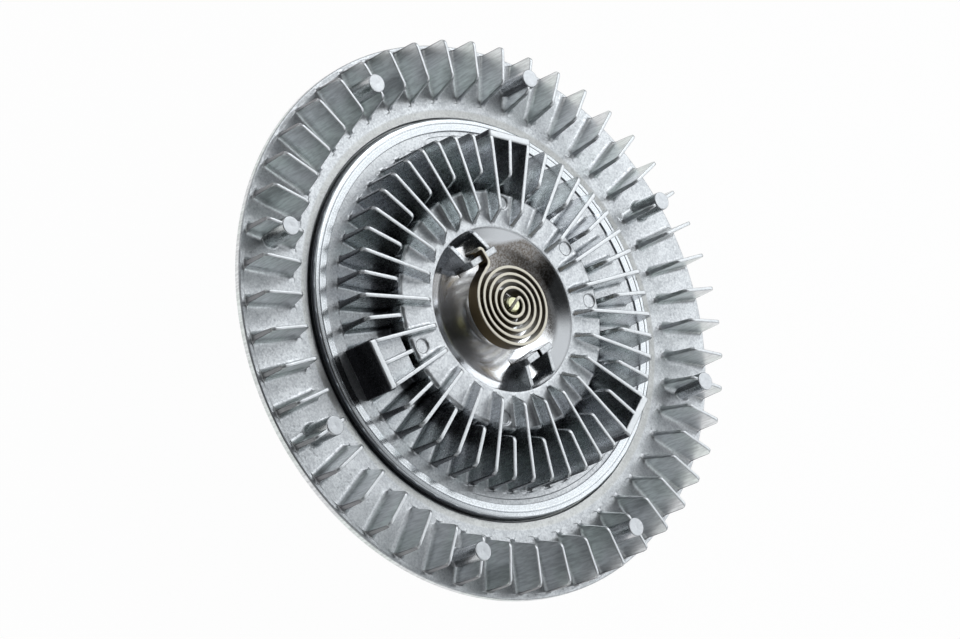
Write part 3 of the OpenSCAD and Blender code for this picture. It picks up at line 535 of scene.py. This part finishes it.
coil_lugs = casting("coil_lugs", points, faces, "front_cover")

# %% [markdown]
# The coil is a flat strip of two metals rolled together. Heat makes one grow more than the other, so the
# coil winds up and turns the spindle in its middle.
# It is a profile carried along a path: a rounded rectangle along tab, tail, bend, turns and tang.
# Its outer end is held by the drum and its inner end by the spindle. Each point's share of the way along
# the strip is kept as an attribute.

# %% Bimetal coil
COIL_Z, STRIP_W, STRIP_T, STRIP_EDGE = 74.6, 6.0, 1.2, 0.22
COIL_PITCH, COIL_R, TAIL_R, SPINDLE_R, COIL_STEP = 2.65, 16.7, 24.3, 4.1, 4.0


def strip_path():
    """Middle of the strip in plan, from the tab on its tail to the tang in the spindle.
    The turns are r = coil radius - pitch * a / 360 at the angle 270 + a degrees."""
    lead = rounded([[4.0, -TAIL_R, 0], [0, -TAIL_R, 1.2], [0, -COIL_R, 3.0], [3.0, -COIL_R, 0]], 8)
    last = 360 * (COIL_R - SPINDLE_R) / COIL_PITCH
    a = np.arange(np.degrees(np.arctan2(3.0, COIL_R)) + COIL_STEP, last, COIL_STEP)
    r, t = COIL_R - COIL_PITCH * a / 360, np.radians(270 + a)
    turns = np.stack([r * np.cos(t), r * np.sin(t)], -1)
    tang = np.radians(270 + last + 15)
    way = np.array([np.cos(tang), np.sin(tang)])
    middle = rounded([[*turns[-1], 0], [*(way * SPINDLE_R), 0.75], [*(-way * 2.4), 0]], 8)
    return np.concatenate([lead, turns, middle[1:]])


def carried(path, profile):
    """Points of a profile (across, up) carried along a plan path, square to it, with the share of the way
    along at each of its rings."""
    ahead = np.gradient(path, axis=0)
    ahead /= np.linalg.norm(ahead, axis=1)[:, None]
    across = np.stack([-ahead[:, 1], ahead[:, 0]], -1)
    plan = path[:, None] + across[:, None] * profile[None, :, :1]
    up = np.broadcast_to(profile[None, :, 1:], plan.shape[:2] + (1,))
    run = np.r_[0, np.cumsum(np.linalg.norm(np.diff(path, axis=0), axis=1))]
    return np.concatenate([plan, up], -1), run / run[-1]


t, strip_top = STRIP_T / 2, COIL_Z + STRIP_W
strip_profile = rounded([[-t, COIL_Z, STRIP_EDGE], [t, COIL_Z, STRIP_EDGE], [t, strip_top, STRIP_EDGE],
                         [-t, strip_top, STRIP_EDGE]], 3)
strip_points, share = carried(strip_path(), strip_profile)
rings, around = strip_points.shape[:2]
coil = piece("bimetal_strip", strip_points, wall_faces(rings, around), None, ["bimetal_coil"])
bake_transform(coil)
facing = coil.data.attributes.new("strip_side", "FLOAT", "POINT")
facing.data.foreach_set("value", np.tile(strip_profile[:, 0] / t, rings).astype(np.float32))
along = coil.data.attributes.new("strip_run", "FLOAT", "POINT")
along.data.foreach_set("value", np.repeat(share, around).astype(np.float32))
weighted(coil)

# %% [markdown]
# Finishes come next. Every one is built from nodes and reads Object coordinates, so the grain stays on
# the metal when the drum turns. A few short helpers keep the node code readable.

# %% Node helpers
def node(tree, kind, inputs=(), **settings):
    """New shader node with its settings, and inputs given as values or as sockets to link."""
    made = tree.nodes.new("ShaderNode" + kind)
    for key, value in settings.items():
        setattr(made, key, value)
    for key, value in dict(inputs).items():
        if isinstance(value, bpy.types.NodeSocket):
            tree.links.new(value, made.inputs[key])
        else:
            made.inputs[key].default_value = value
    return made


def calc(tree, how, *values):
    """Output of a Math node on values or sockets."""
    return node(tree, "Math", enumerate(values), operation=how).outputs[0]


def times(tree, first, *others):
    """Product of values or sockets."""
    for value in others:
        first = calc(tree, "MULTIPLY", first, value)
    return first


def between(tree, value, low, high, out_low=0.0, out_high=1.0):
    """Smooth change from out_low to out_high while the value goes from low to high."""
    return node(tree, "MapRange", {"Value": value, "From Min": low, "From Max": high, "To Min": out_low,
                                   "To Max": out_high}, interpolation_type="SMOOTHSTEP").outputs[0]


def blend_colour(tree, share, a, b, how="MIX"):
    """Colour between a and b by a share."""
    a, b = (value if isinstance(value, bpy.types.NodeSocket) else (*value, 1) for value in (a, b))
    return node(tree, "Mix", {0: share, 6: a, 7: b}, data_type="RGBA", blend_type=how).outputs[2]


def noise(tree, vector, scale, detail, roughness=0.5):
    """Noise from 0 to 1 whose features are about 1 / scale metres across."""
    return node(tree, "TexNoise", {"Vector": vector, "Scale": scale, "Detail": detail,
                                   "Roughness": roughness}).outputs[0]


def object_place(tree):
    """Object coordinates, as a vector and as x, y and z."""
    place = node(tree, "TexCoord").outputs["Object"]
    return place, *node(tree, "SeparateXYZ", {"Vector": place}).outputs


def levelness(tree):
    """1 on level faces and 0 on upright ones: the height of the normal, without its sign."""
    normal = node(tree, "NewGeometry").outputs["Normal"]
    return calc(tree, "ABSOLUTE", node(tree, "SeparateXYZ", {"Vector": normal}).outputs[2])

# %% [markdown]
# What several finishes share is kept in node groups, which give out numbers only.

# %% Group helpers
def group(name, outputs, inputs=()):
    """Empty node group with its named number sockets, and its input and output nodes."""
    tree = bpy.data.node_groups.new(name, "ShaderNodeTree")
    for key, value in dict(inputs).items():
        tree.interface.new_socket(key, in_out="INPUT", socket_type="NodeSocketFloat").default_value = value
    for key in outputs:
        tree.interface.new_socket(key, in_out="OUTPUT", socket_type="NodeSocketFloat")
    return tree, tree.nodes.new("NodeGroupInput"), tree.nodes.new("NodeGroupOutput")


def use(tree, shared, **inputs):
    """Places a shared group in a material and returns its outputs by name."""
    made = tree.nodes.new("ShaderNodeGroup")
    made.node_tree = shared
    for key, value in inputs.items():
        made.inputs[key.replace("_", " ")].default_value = value
    return made.outputs

# %% [markdown]
# Die-cast aluminium isn't even: the skin has flow marks some millimetres across, a fine grain of about
# half a millimetre, and pits. Upright sides also have drag lines, where the casting slid out of the die.
# One group gives them all, for every cast finish.

# %% Casting grain
casting_grain, _, grain_out = group("casting_grain", ["Shade", "Pits", "Height", "Streaks", "Tint"])
tree = casting_grain
place = node(tree, "TexCoord").outputs["Object"]
flow = noise(tree, place, 160.0, 3.0, 0.6)
fine = noise(tree, place, 1300.0, 2.0, 0.7)
cell = node(tree, "TexVoronoi", {"Vector": place, "Scale": 420.0}).outputs["Distance"]
pits = between(tree, cell, 0.28, 0.12)
shade = calc(tree, "ADD", times(tree, flow, 0.25), times(tree, fine, 0.75))
height = calc(tree, "SUBTRACT", fine, times(tree, pits, 0.5))
drawn = node(tree, "VectorMath", {0: place, 1: (1.0, 1.0, 0.14)}, operation="MULTIPLY").outputs[0]
drag = noise(tree, drawn, 1100.0, 2.0, 0.6)
drag = calc(tree, "ADD", times(tree, drag, 0.8), times(tree, flow, 0.2))
tint = noise(tree, place, 55.0, 1.0)
for key, value in (("Shade", between(tree, shade, 0.36, 0.64)), ("Pits", pits), ("Height", height),
                   ("Streaks", between(tree, drag, 0.34, 0.66)),
                   ("Tint", between(tree, tint, 0.4, 0.6))):
    tree.links.new(value, grain_out.inputs[key])

# %% [markdown]
# A lathe leaves fine rings. Their height is a noise that depends only on the distance from the axis and
# the height, so it runs round the piece as real tool marks do.

# %% Turning rings
PER_METRE = 4000.0
turning_rings, rings_in, rings_out = group("turning_rings", ["Radius", "Level", "Rings"],
                                           {"Per metre": PER_METRE})
tree = turning_rings
_, x, y, z = object_place(tree)
radius = calc(tree, "SQRT", calc(tree, "ADD", times(tree, x, x), times(tree, y, y)))
cut = node(tree, "CombineXYZ", {"X": radius, "Y": z}).outputs[0]
marks = noise(tree, cut, rings_in.outputs[0], 2.0)
for key, value in (("Radius", radius), ("Level", z), ("Rings", marks)):
    tree.links.new(value, rings_out.inputs[key])

# %% [markdown]
# The cast finish mixes a darker and a lighter grey by the grain, and takes its roughness from the same
# grain. Upright faces have a painted tone of their own, lighter or darker as they look lit, with drag lines.
# Zones by radius and height, in metres, make the rest: worn bright edges along the fin tops, painted shade
# on the fin ends and at the roots, and a darker brownish band beside the rolled lip.

# %% Cast aluminium
STEEP, ABOVE_RIM = (0.9, 0.35), (0.0622, 0.0626)
FLOOR_DARK, FLOOR_LIGHT, PIT = (0.525, 0.54, 0.56), (0.69, 0.705, 0.72), (0.30, 0.31, 0.33)
GREENISH, ROOT_SHADE, END_SHADE = (0.965, 1.0, 0.97), (0.48, 0.49, 0.51), (0.08, 0.08, 0.09)
BROWN_BAND, BROWN_BAND_FADE, BROWN_BAND_SHARE = (0.48, 0.47, 0.43), 0.0012, 0.45


def finish(name):
    """New material, its node tree and its Principled shader."""
    made = bpy.data.materials.new(name)
    made.use_nodes = True
    tree = made.node_tree
    return made, tree, tree.nodes["Principled BSDF"]


def dress(tree, shader, colour, roughness, height, strength, depth, metallic=1.0):
    """Links colour, roughness and a bump of the given strength and depth into the shader."""
    bump = node(tree, "Bump", {"Height": height, "Strength": strength, "Distance": depth})
    for key, socket in (("Base Color", colour), ("Roughness", roughness), ("Normal", bump.outputs[0])):
        tree.links.new(socket, shader.inputs[key])
    shader.inputs["Metallic"].default_value = metallic


def side_colour(tree, grain, ring, sides, roots, ends):
    """Colour of upright faces: a painted tone, lighter or darker as the faces look lit, with drag lines and a
    greenish tint in patches.
    roots: painted shade near the roots; two heights, dark at the first and clear at the second, and two
    radii, clear and dark.
    ends: painted shade on the fin ends; two radii, clear and dark, and the share of the dark."""
    # Painted light and shade: the base tone of upright faces is set to how lit they look; drag lines and tint
    # are the metal's own.
    colour = blend_colour(tree, grain["Streaks"], [0.84 * v for v in sides], [1.14 * v for v in sides])
    colour = blend_colour(tree, grain["Tint"], colour, blend_colour(tree, 1.0, colour, GREENISH, "MULTIPLY"))
    # Painted shade at the roots: upright faces darken towards the floor within a radius.
    if roots:
        low = times(tree, between(tree, ring["Level"], *roots[:2], 1.0, 0.0),
                    between(tree, ring["Radius"], *roots[2:]))
        colour = blend_colour(tree, low, colour, blend_colour(tree, 1.0, colour, ROOT_SHADE, "MULTIPLY"))
    # Painted shade: the outer ends of the fins are made nearly black.
    if ends:
        end = times(tree, between(tree, ring["Radius"], *ends[:2]), between(tree, ring["Level"], *ABOVE_RIM),
                    ends[2])
        colour = blend_colour(tree, end, colour, END_SHADE)
    return colour


def cast_finish(name, edge_z, sides, roots=None, ends=None, brown_band_radius=None, crown=(0.71, 0.725, 0.74),
                gloss=0.12, zones=None):
    """Cast aluminium: edges above edge_z worn to the crown's colour, floors a darker brownish grey within a
    radius, sides smoother by gloss than floors, and further zones by a function of its own."""
    made, tree, shader = finish(name)
    grain, ring, level = use(tree, casting_grain), use(tree, turning_rings), levelness(tree)
    colour = blend_colour(tree, grain["Shade"], FLOOR_DARK, FLOOR_LIGHT)
    colour = blend_colour(tree, times(tree, grain["Pits"], 0.3), colour, PIT)
    # A darker brownish band on the floor inside a radius.
    if brown_band_radius:
        band = between(tree, ring["Radius"], brown_band_radius, brown_band_radius - BROWN_BAND_FADE, 0.0, BROWN_BAND_SHARE)
        colour = blend_colour(tree, band, colour, BROWN_BAND)
    steep = between(tree, level, *STEEP)
    colour = blend_colour(tree, steep, colour, side_colour(tree, grain, ring, sides, roots, ends))
    rough = calc(tree, "SUBTRACT", between(tree, grain["Shade"], 0.0, 1.0, 0.42, 0.34),
                 between(tree, level, *STEEP, 0.0, gloss))
    worn = between(tree, ring["Level"], edge_z - 0.0004, edge_z - 0.0001)
    colour = blend_colour(tree, times(tree, worn, 0.8), colour, crown)
    height = times(tree, grain["Height"], between(tree, level, *STEEP, 1.0, 0.12))
    if zones:
        colour, rough, height = zones(tree, grain, ring, colour, rough, height)
    dress(tree, shader, colour, rough, height, 0.35, 0.00015)
    return made

# %% [markdown]
# The cover has zones of its own. The inner corner of its deck, between the fins, is painted dark as shade.
# The bowl is polished and has fine rings, and one side of it is coloured dark brown. A painted shade line
# runs round each mark.

# %% Zones of the cover
POLISHED, BOWL_BROWN = (0.87, 0.88, 0.90), (0.22, 0.18, 0.145)
CORNER_SHADE, MARK_SHADE, MARK_Z = (0.07, 0.07, 0.08), (0.16, 0.16, 0.17), 0.0732


def cover_zones(tree, grain, ring, colour, rough, height):
    """Colour, roughness and height with the cover's zones. The dark brown patch lies where -0.95 x - 0.35 y
    is large, inside a radius that reaches further out in a band of y."""
    place, x, y, _ = object_place(tree)
    radius = ring["Radius"]
    # Painted shade in the inner corner of the deck, between the fins.
    corner = times(tree, between(tree, radius, 0.0535, 0.0522), between(tree, radius, 0.044, 0.046),
                   between(tree, ring["Level"], 0.0715, 0.066, 0.0, 0.8))
    colour = blend_colour(tree, corner, colour, CORNER_SHADE)
    polish = between(tree, radius, 0.0322, 0.0314)
    colour = blend_colour(tree, polish, colour, POLISHED)
    # A dark brown patch on one side of the bowl.
    behind = calc(tree, "ADD", times(tree, x, -0.95), times(tree, y, -0.35))
    reach = times(tree, between(tree, y, 0.006, -0.002, 0.0, 0.007), between(tree, y, -0.022, -0.015))
    inside = between(tree, calc(tree, "SUBTRACT", radius, reach), 0.0285, 0.0245)
    brown_patch = times(tree, between(tree, behind, 0.001, 0.018), inside, polish,
                   between(tree, grain["Shade"], 0.0, 1.0, 0.6, 0.95))
    colour = blend_colour(tree, brown_patch, colour, BOWL_BROWN)
    rough = calc(tree, "SUBTRACT", rough, times(tree, polish, 0.21))
    height = calc(tree, "ADD", times(tree, height, calc(tree, "SUBTRACT", 1.0, polish)),
                  times(tree, ring["Rings"], times(tree, polish, 0.3)))
    # Painted shade: a dark line round each ejector mark.
    away = 1.0
    for spot in ring_places(MARK_R, MARK_ANGLES) * MM:
        away = calc(tree, "MINIMUM", away, node(tree, "VectorMath", {0: place, 1: (*spot, MARK_Z)},
                                                operation="DISTANCE").outputs["Value"])
    line = times(tree, between(tree, away, 0.00245, 0.0026), between(tree, away, 0.0029, 0.00278), 0.7)
    return blend_colour(tree, line, colour, MARK_SHADE), rough, height

# %% [markdown]
# The castings' pieces differ in the painted tone of their sides, lighter or darker as those faces look lit,
# and in where their edges are worn. The shell and the rear are not worn, so their edge height lies above the
# part.

# %% Cast finishes
NO_WEAR, COVER_WEAR = 0.2, 0.0797
rim_cast = cast_finish("rim_cast_aluminium", 0.076, (0.73, 0.745, 0.755), ends=(0.1053, 0.1057, 0.8),
                       brown_band_radius=0.0824, gloss=0.02)
post_cast = cast_finish("post_cast_aluminium", 0.0764, (0.55, 0.56, 0.58), crown=(0.60, 0.615, 0.635))
shell_cast = cast_finish("shell_cast_aluminium", NO_WEAR, (0.45, 0.46, 0.48))
rear_cast = cast_finish("rear_cast_aluminium", NO_WEAR, (0.55, 0.56, 0.58))
# The lugs' near-black sides are painted shade.
shade_painted_wall_cast = cast_finish("wall_cast_aluminium", COVER_WEAR, (0.24, 0.245, 0.26))
pocket_cast = cast_finish("pocket_cast_aluminium", COVER_WEAR, (0.62, 0.635, 0.66),
                          ends=(0.0664, 0.0669, 1.0))
cover_cast = cast_finish("cover_cast_aluminium", COVER_WEAR, (0.66, 0.675, 0.70),
                         roots=(0.063, 0.0735, 0.058, 0.0495), ends=(0.0669, 0.0673, 0.8), zones=cover_zones)
for made, material in ((drum_rim, rim_cast), (drum_shell, shell_cast), (drum_rear, rear_cast),
                       (ejector_posts, post_cast), (fan_bosses, rear_cast), (cover_sheet, cover_cast),
                       (cover_back, rear_cast), (pocket_wall, pocket_cast), (coil_lugs, shade_painted_wall_cast)):
    made.data.materials.append(material)

# %% [markdown]
# The strip is two alloys: the inner side is paler than the outer one, which is browned by heat and
# painted darker still as shade. The rolled edges are pale tan, and the lower edge is painted a duller grey
# as shade. The side is kept as an attribute of the strip, from -1 to 1 across it.

# %% Bimetal
BROWNED_AND_SHADED, PALE, STREAKED = (0.18, 0.13, 0.065), (0.52, 0.50, 0.45), (0.55, 0.50, 0.42)
TAN, LOWER_EDGE_SHADE = (0.57, 0.535, 0.455), (0.45, 0.45, 0.46)
bimetal, tree, shader = finish("bimetal")
side = node(tree, "Attribute", attribute_name="strip_side").outputs["Fac"]
run = node(tree, "Attribute", attribute_name="strip_run").outputs["Fac"]
z = object_place(tree)[3]
stretched = node(tree, "CombineXYZ", {"X": times(tree, run, 40.0), "Y": z}).outputs[0]
streak, grain = noise(tree, stretched, 900.0, 2.0), use(tree, casting_grain)
# The outer side's brown is its own colour, darkened further as painted shade.
flat = blend_colour(tree, between(tree, side, -0.6, 0.6), BROWNED_AND_SHADED, PALE)
flat = blend_colour(tree, between(tree, streak, 0.5, 0.85, 0.0, 0.6), flat, STREAKED)
colour = blend_colour(tree, between(tree, z, 0.0802, 0.0805), flat, TAN)
# Painted shade: the lower edge turns a duller grey.
colour = blend_colour(tree, between(tree, z, 0.0751, 0.0747), colour, LOWER_EDGE_SHADE)
dress(tree, shader, colour, between(tree, streak, 0.3, 0.7, 0.28, 0.42), grain["Height"], 0.15, 0.00008)
coil.data.materials.append(bimetal)

# %% [markdown]
# The remaining pieces are turned, ground, pressed or moulded. Their CAD solids are right as they are, so
# they only get their finishes: turned steel with tool rings, ground bearing steel, sheet steel with a
# rolled grain, zinc plate with a yellow tint, rubber and nylon.

# %% Steel, rubber and nylon
def ringed_metal(name, dark, light, rough, per_metre=PER_METRE, strength=0.2, sides=None):
    """Metal with lathe rings, between two greys. Upright sides may have a colour of their own."""
    made, tree, shader = finish(name)
    ring, grain = use(tree, turning_rings, Per_metre=per_metre), use(tree, casting_grain)
    share = calc(tree, "ADD", times(tree, ring["Rings"], 0.7), times(tree, grain["Shade"], 0.3))
    colour = blend_colour(tree, between(tree, share, 0.3, 0.75), dark, light)
    if sides:
        colour = blend_colour(tree, between(tree, levelness(tree), 0.8, 0.3), colour, sides)
    roughness = between(tree, share, 0.3, 0.75, rough + 0.08, rough)
    dress(tree, shader, colour, roughness, ring["Rings"], strength, 0.0001)
    return made


def moulded(name, dark, light, rough):
    """Rubber or nylon: two near shades by the grain, matt and faintly rough."""
    made, tree, shader = finish(name)
    grain = use(tree, casting_grain)
    colour = blend_colour(tree, grain["Shade"], dark, light)
    roughness = between(tree, grain["Shade"], 0, 1, rough, rough + 0.12)
    dress(tree, shader, colour, roughness, grain["Height"], 0.2, 0.0001, metallic=0.0)
    return made


# The rolled lip's upright walls get a darker tone: painted shade.
rolled_aluminium = ringed_metal("rolled_aluminium", (0.58, 0.60, 0.62), (0.68, 0.70, 0.72), 0.13, 2500.0,
                                0.1, sides=(0.36, 0.375, 0.42))
turned_steel = ringed_metal("turned_steel", (0.36, 0.37, 0.38), (0.58, 0.59, 0.60), 0.26)
bearing_steel = ringed_metal("bearing_steel", (0.62, 0.63, 0.64), (0.74, 0.75, 0.76), 0.12, 9000.0, 0.08)
sheet_steel = ringed_metal("sheet_steel", (0.44, 0.45, 0.46), (0.56, 0.57, 0.58), 0.32, 1500.0, 0.1)
zinc_plate = ringed_metal("zinc_plate", (0.58, 0.57, 0.36), (0.80, 0.79, 0.58), 0.2, 6000.0, 0.12)
seal_rubber = moulded("seal_rubber", (0.016, 0.016, 0.017), (0.028, 0.028, 0.029), 0.55)
wiper_nylon = moulded("wiper_nylon", (0.66, 0.61, 0.50), (0.74, 0.70, 0.60), 0.4)
finishes = {
    "drive_shaft": turned_steel, "clutch_plate": turned_steel, "pump_plate": sheet_steel,
    "valve_arm": sheet_steel, "valve_spindle": zinc_plate, "bearing_cage": zinc_plate,
    "cover_seal_ring": seal_rubber, "spindle_seal_ring": seal_rubber, "wiper": wiper_nylon}
rolled_lip.data.materials.append(rolled_aluminium)
for name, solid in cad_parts.items():
    solid.data.materials.clear()
    solid.data.materials.append(finishes.get(name, bearing_steel))
print(len(bpy.data.materials), "materials")

# %% [markdown]
# The photograph looks down on the front from one side, with a long lens. The camera's three axes were
# worked out from the places of the eight posts.

# %% Camera
shot = bpy.data.cameras.new("photo_camera")
shot.lens, shot.sensor_width, shot.clip_end = 110.0, 36.0, 20
camera = bpy.data.objects.new("photo_camera", shot)
right, up, back = (-0.63683, 0.50352, 0.58388), (-0.43700, -0.85963, 0.26469), (0.63520, -0.08659, 0.76748)
eye = (0.70213, -0.09562, 0.90697)
camera.matrix_world = Matrix([[right[i], up[i], back[i], eye[i]] for i in range(3)] + [[0, 0, 0, 1]])
bpy.context.collection.objects.link(camera)
bpy.context.scene.camera = camera
bpy.context.scene.view_settings.view_transform = "Standard"
print("camera with a", shot.lens, "mm lens")

# %% [markdown]
# One large soft box stands across from the camera, so that level faces mirror it and upright faces stay
# dark, as in the photograph. A smaller one beside it lights the fins at the right.
# All round is a pale tent. It is darker overhead, near the horizon and round the camera, and the metal
# shows these dark parts too.

# %% Light
LAMP_TINT, TENT_TINT, CAMERA_SIDE = (0.955, 0.985, 1.0), (0.93, 0.97, 1.0, 1), (0.633, -0.112, 0.766)


def soft_box(name, azimuth, elevation, distance, wide, high, radiance):
    """Area lamp aimed at the part. Its power is pi * area * radiance."""
    lamp = bpy.data.lights.new(name, "AREA")
    lamp.color = LAMP_TINT
    lamp.shape, lamp.size, lamp.size_y, lamp.energy = "RECTANGLE", wide, high, np.pi * wide * high * radiance
    made = bpy.data.objects.new(name, lamp)
    a, e = np.radians([azimuth, elevation])
    away = Vector((np.cos(a) * np.cos(e), np.sin(a) * np.cos(e), np.sin(e)))
    made.location = away * distance + Vector((0, 0, 0.06))
    made.rotation_euler = (-away).to_track_quat("-Z", "Y").to_euler()
    bpy.context.collection.objects.link(made)


soft_box("key", azimuth=176, elevation=37, distance=1.3, wide=2.6, high=0.92, radiance=0.87)
soft_box("side", azimuth=212, elevation=52, distance=1.3, wide=0.6, high=0.6, radiance=1.35)

world = bpy.data.worlds.new("studio")
world.use_nodes = True
sky = world.node_tree
way = node(sky, "TexCoord").outputs["Generated"]
toward = node(sky, "VectorMath", {0: way, 1: CAMERA_SIDE}, operation="DOT_PRODUCT").outputs["Value"]
level = node(sky, "SeparateXYZ", {"Vector": way}).outputs[2]
opening, overhead = between(sky, toward, 0.95, 0.74, 0.04, 1.0), between(sky, level, 0.80, 0.95, 0.68, 0.17)
tent = times(sky, opening, overhead, between(sky, level, 0.15, 0.58, 0.3, 1.0))
sky.links.new(tent, sky.nodes["Background"].inputs["Strength"])
sky.nodes["Background"].inputs["Color"].default_value = TENT_TINT
bpy.context.scene.world = world

# %% [markdown]
# The floor is white to the camera and to reflections, and keeps a faint shadow of the part.

# %% Floor
h, FLOOR_GAP, WHITE_SHARE = 3, 0.0005, 0.975
floor = bpy.data.objects.new("floor", bpy.data.meshes.new("floor"))
floor.data.from_pydata([(-h, -h, 0), (h, -h, 0), (h, h, 0), (-h, h, 0)], [], [(0, 1, 2, 3)])
bpy.context.collection.objects.link(floor)
floor.location.z = -FLOOR_GAP
white, tree, shader = finish("white_floor")
shader.inputs["Base Color"].default_value = (0.85, 0.85, 0.85, 1)
shader.inputs["Roughness"].default_value = 0.9
glow = node(tree, "Emission", {"Color": (1, 1, 1, 1), "Strength": 1.0})
ray = node(tree, "LightPath").outputs
seen = calc(tree, "MAXIMUM", calc(tree, "MAXIMUM", ray["Is Camera Ray"], ray["Is Glossy Ray"]),
            ray["Is Transmission Ray"])
mixed = node(tree, "MixShader", {0: times(tree, seen, WHITE_SHARE), 1: shader.outputs[0], 2: glow.outputs[0]})
tree.links.new(mixed.outputs[0], tree.nodes["Material Output"].inputs["Surface"])
floor.data.materials.append(white)
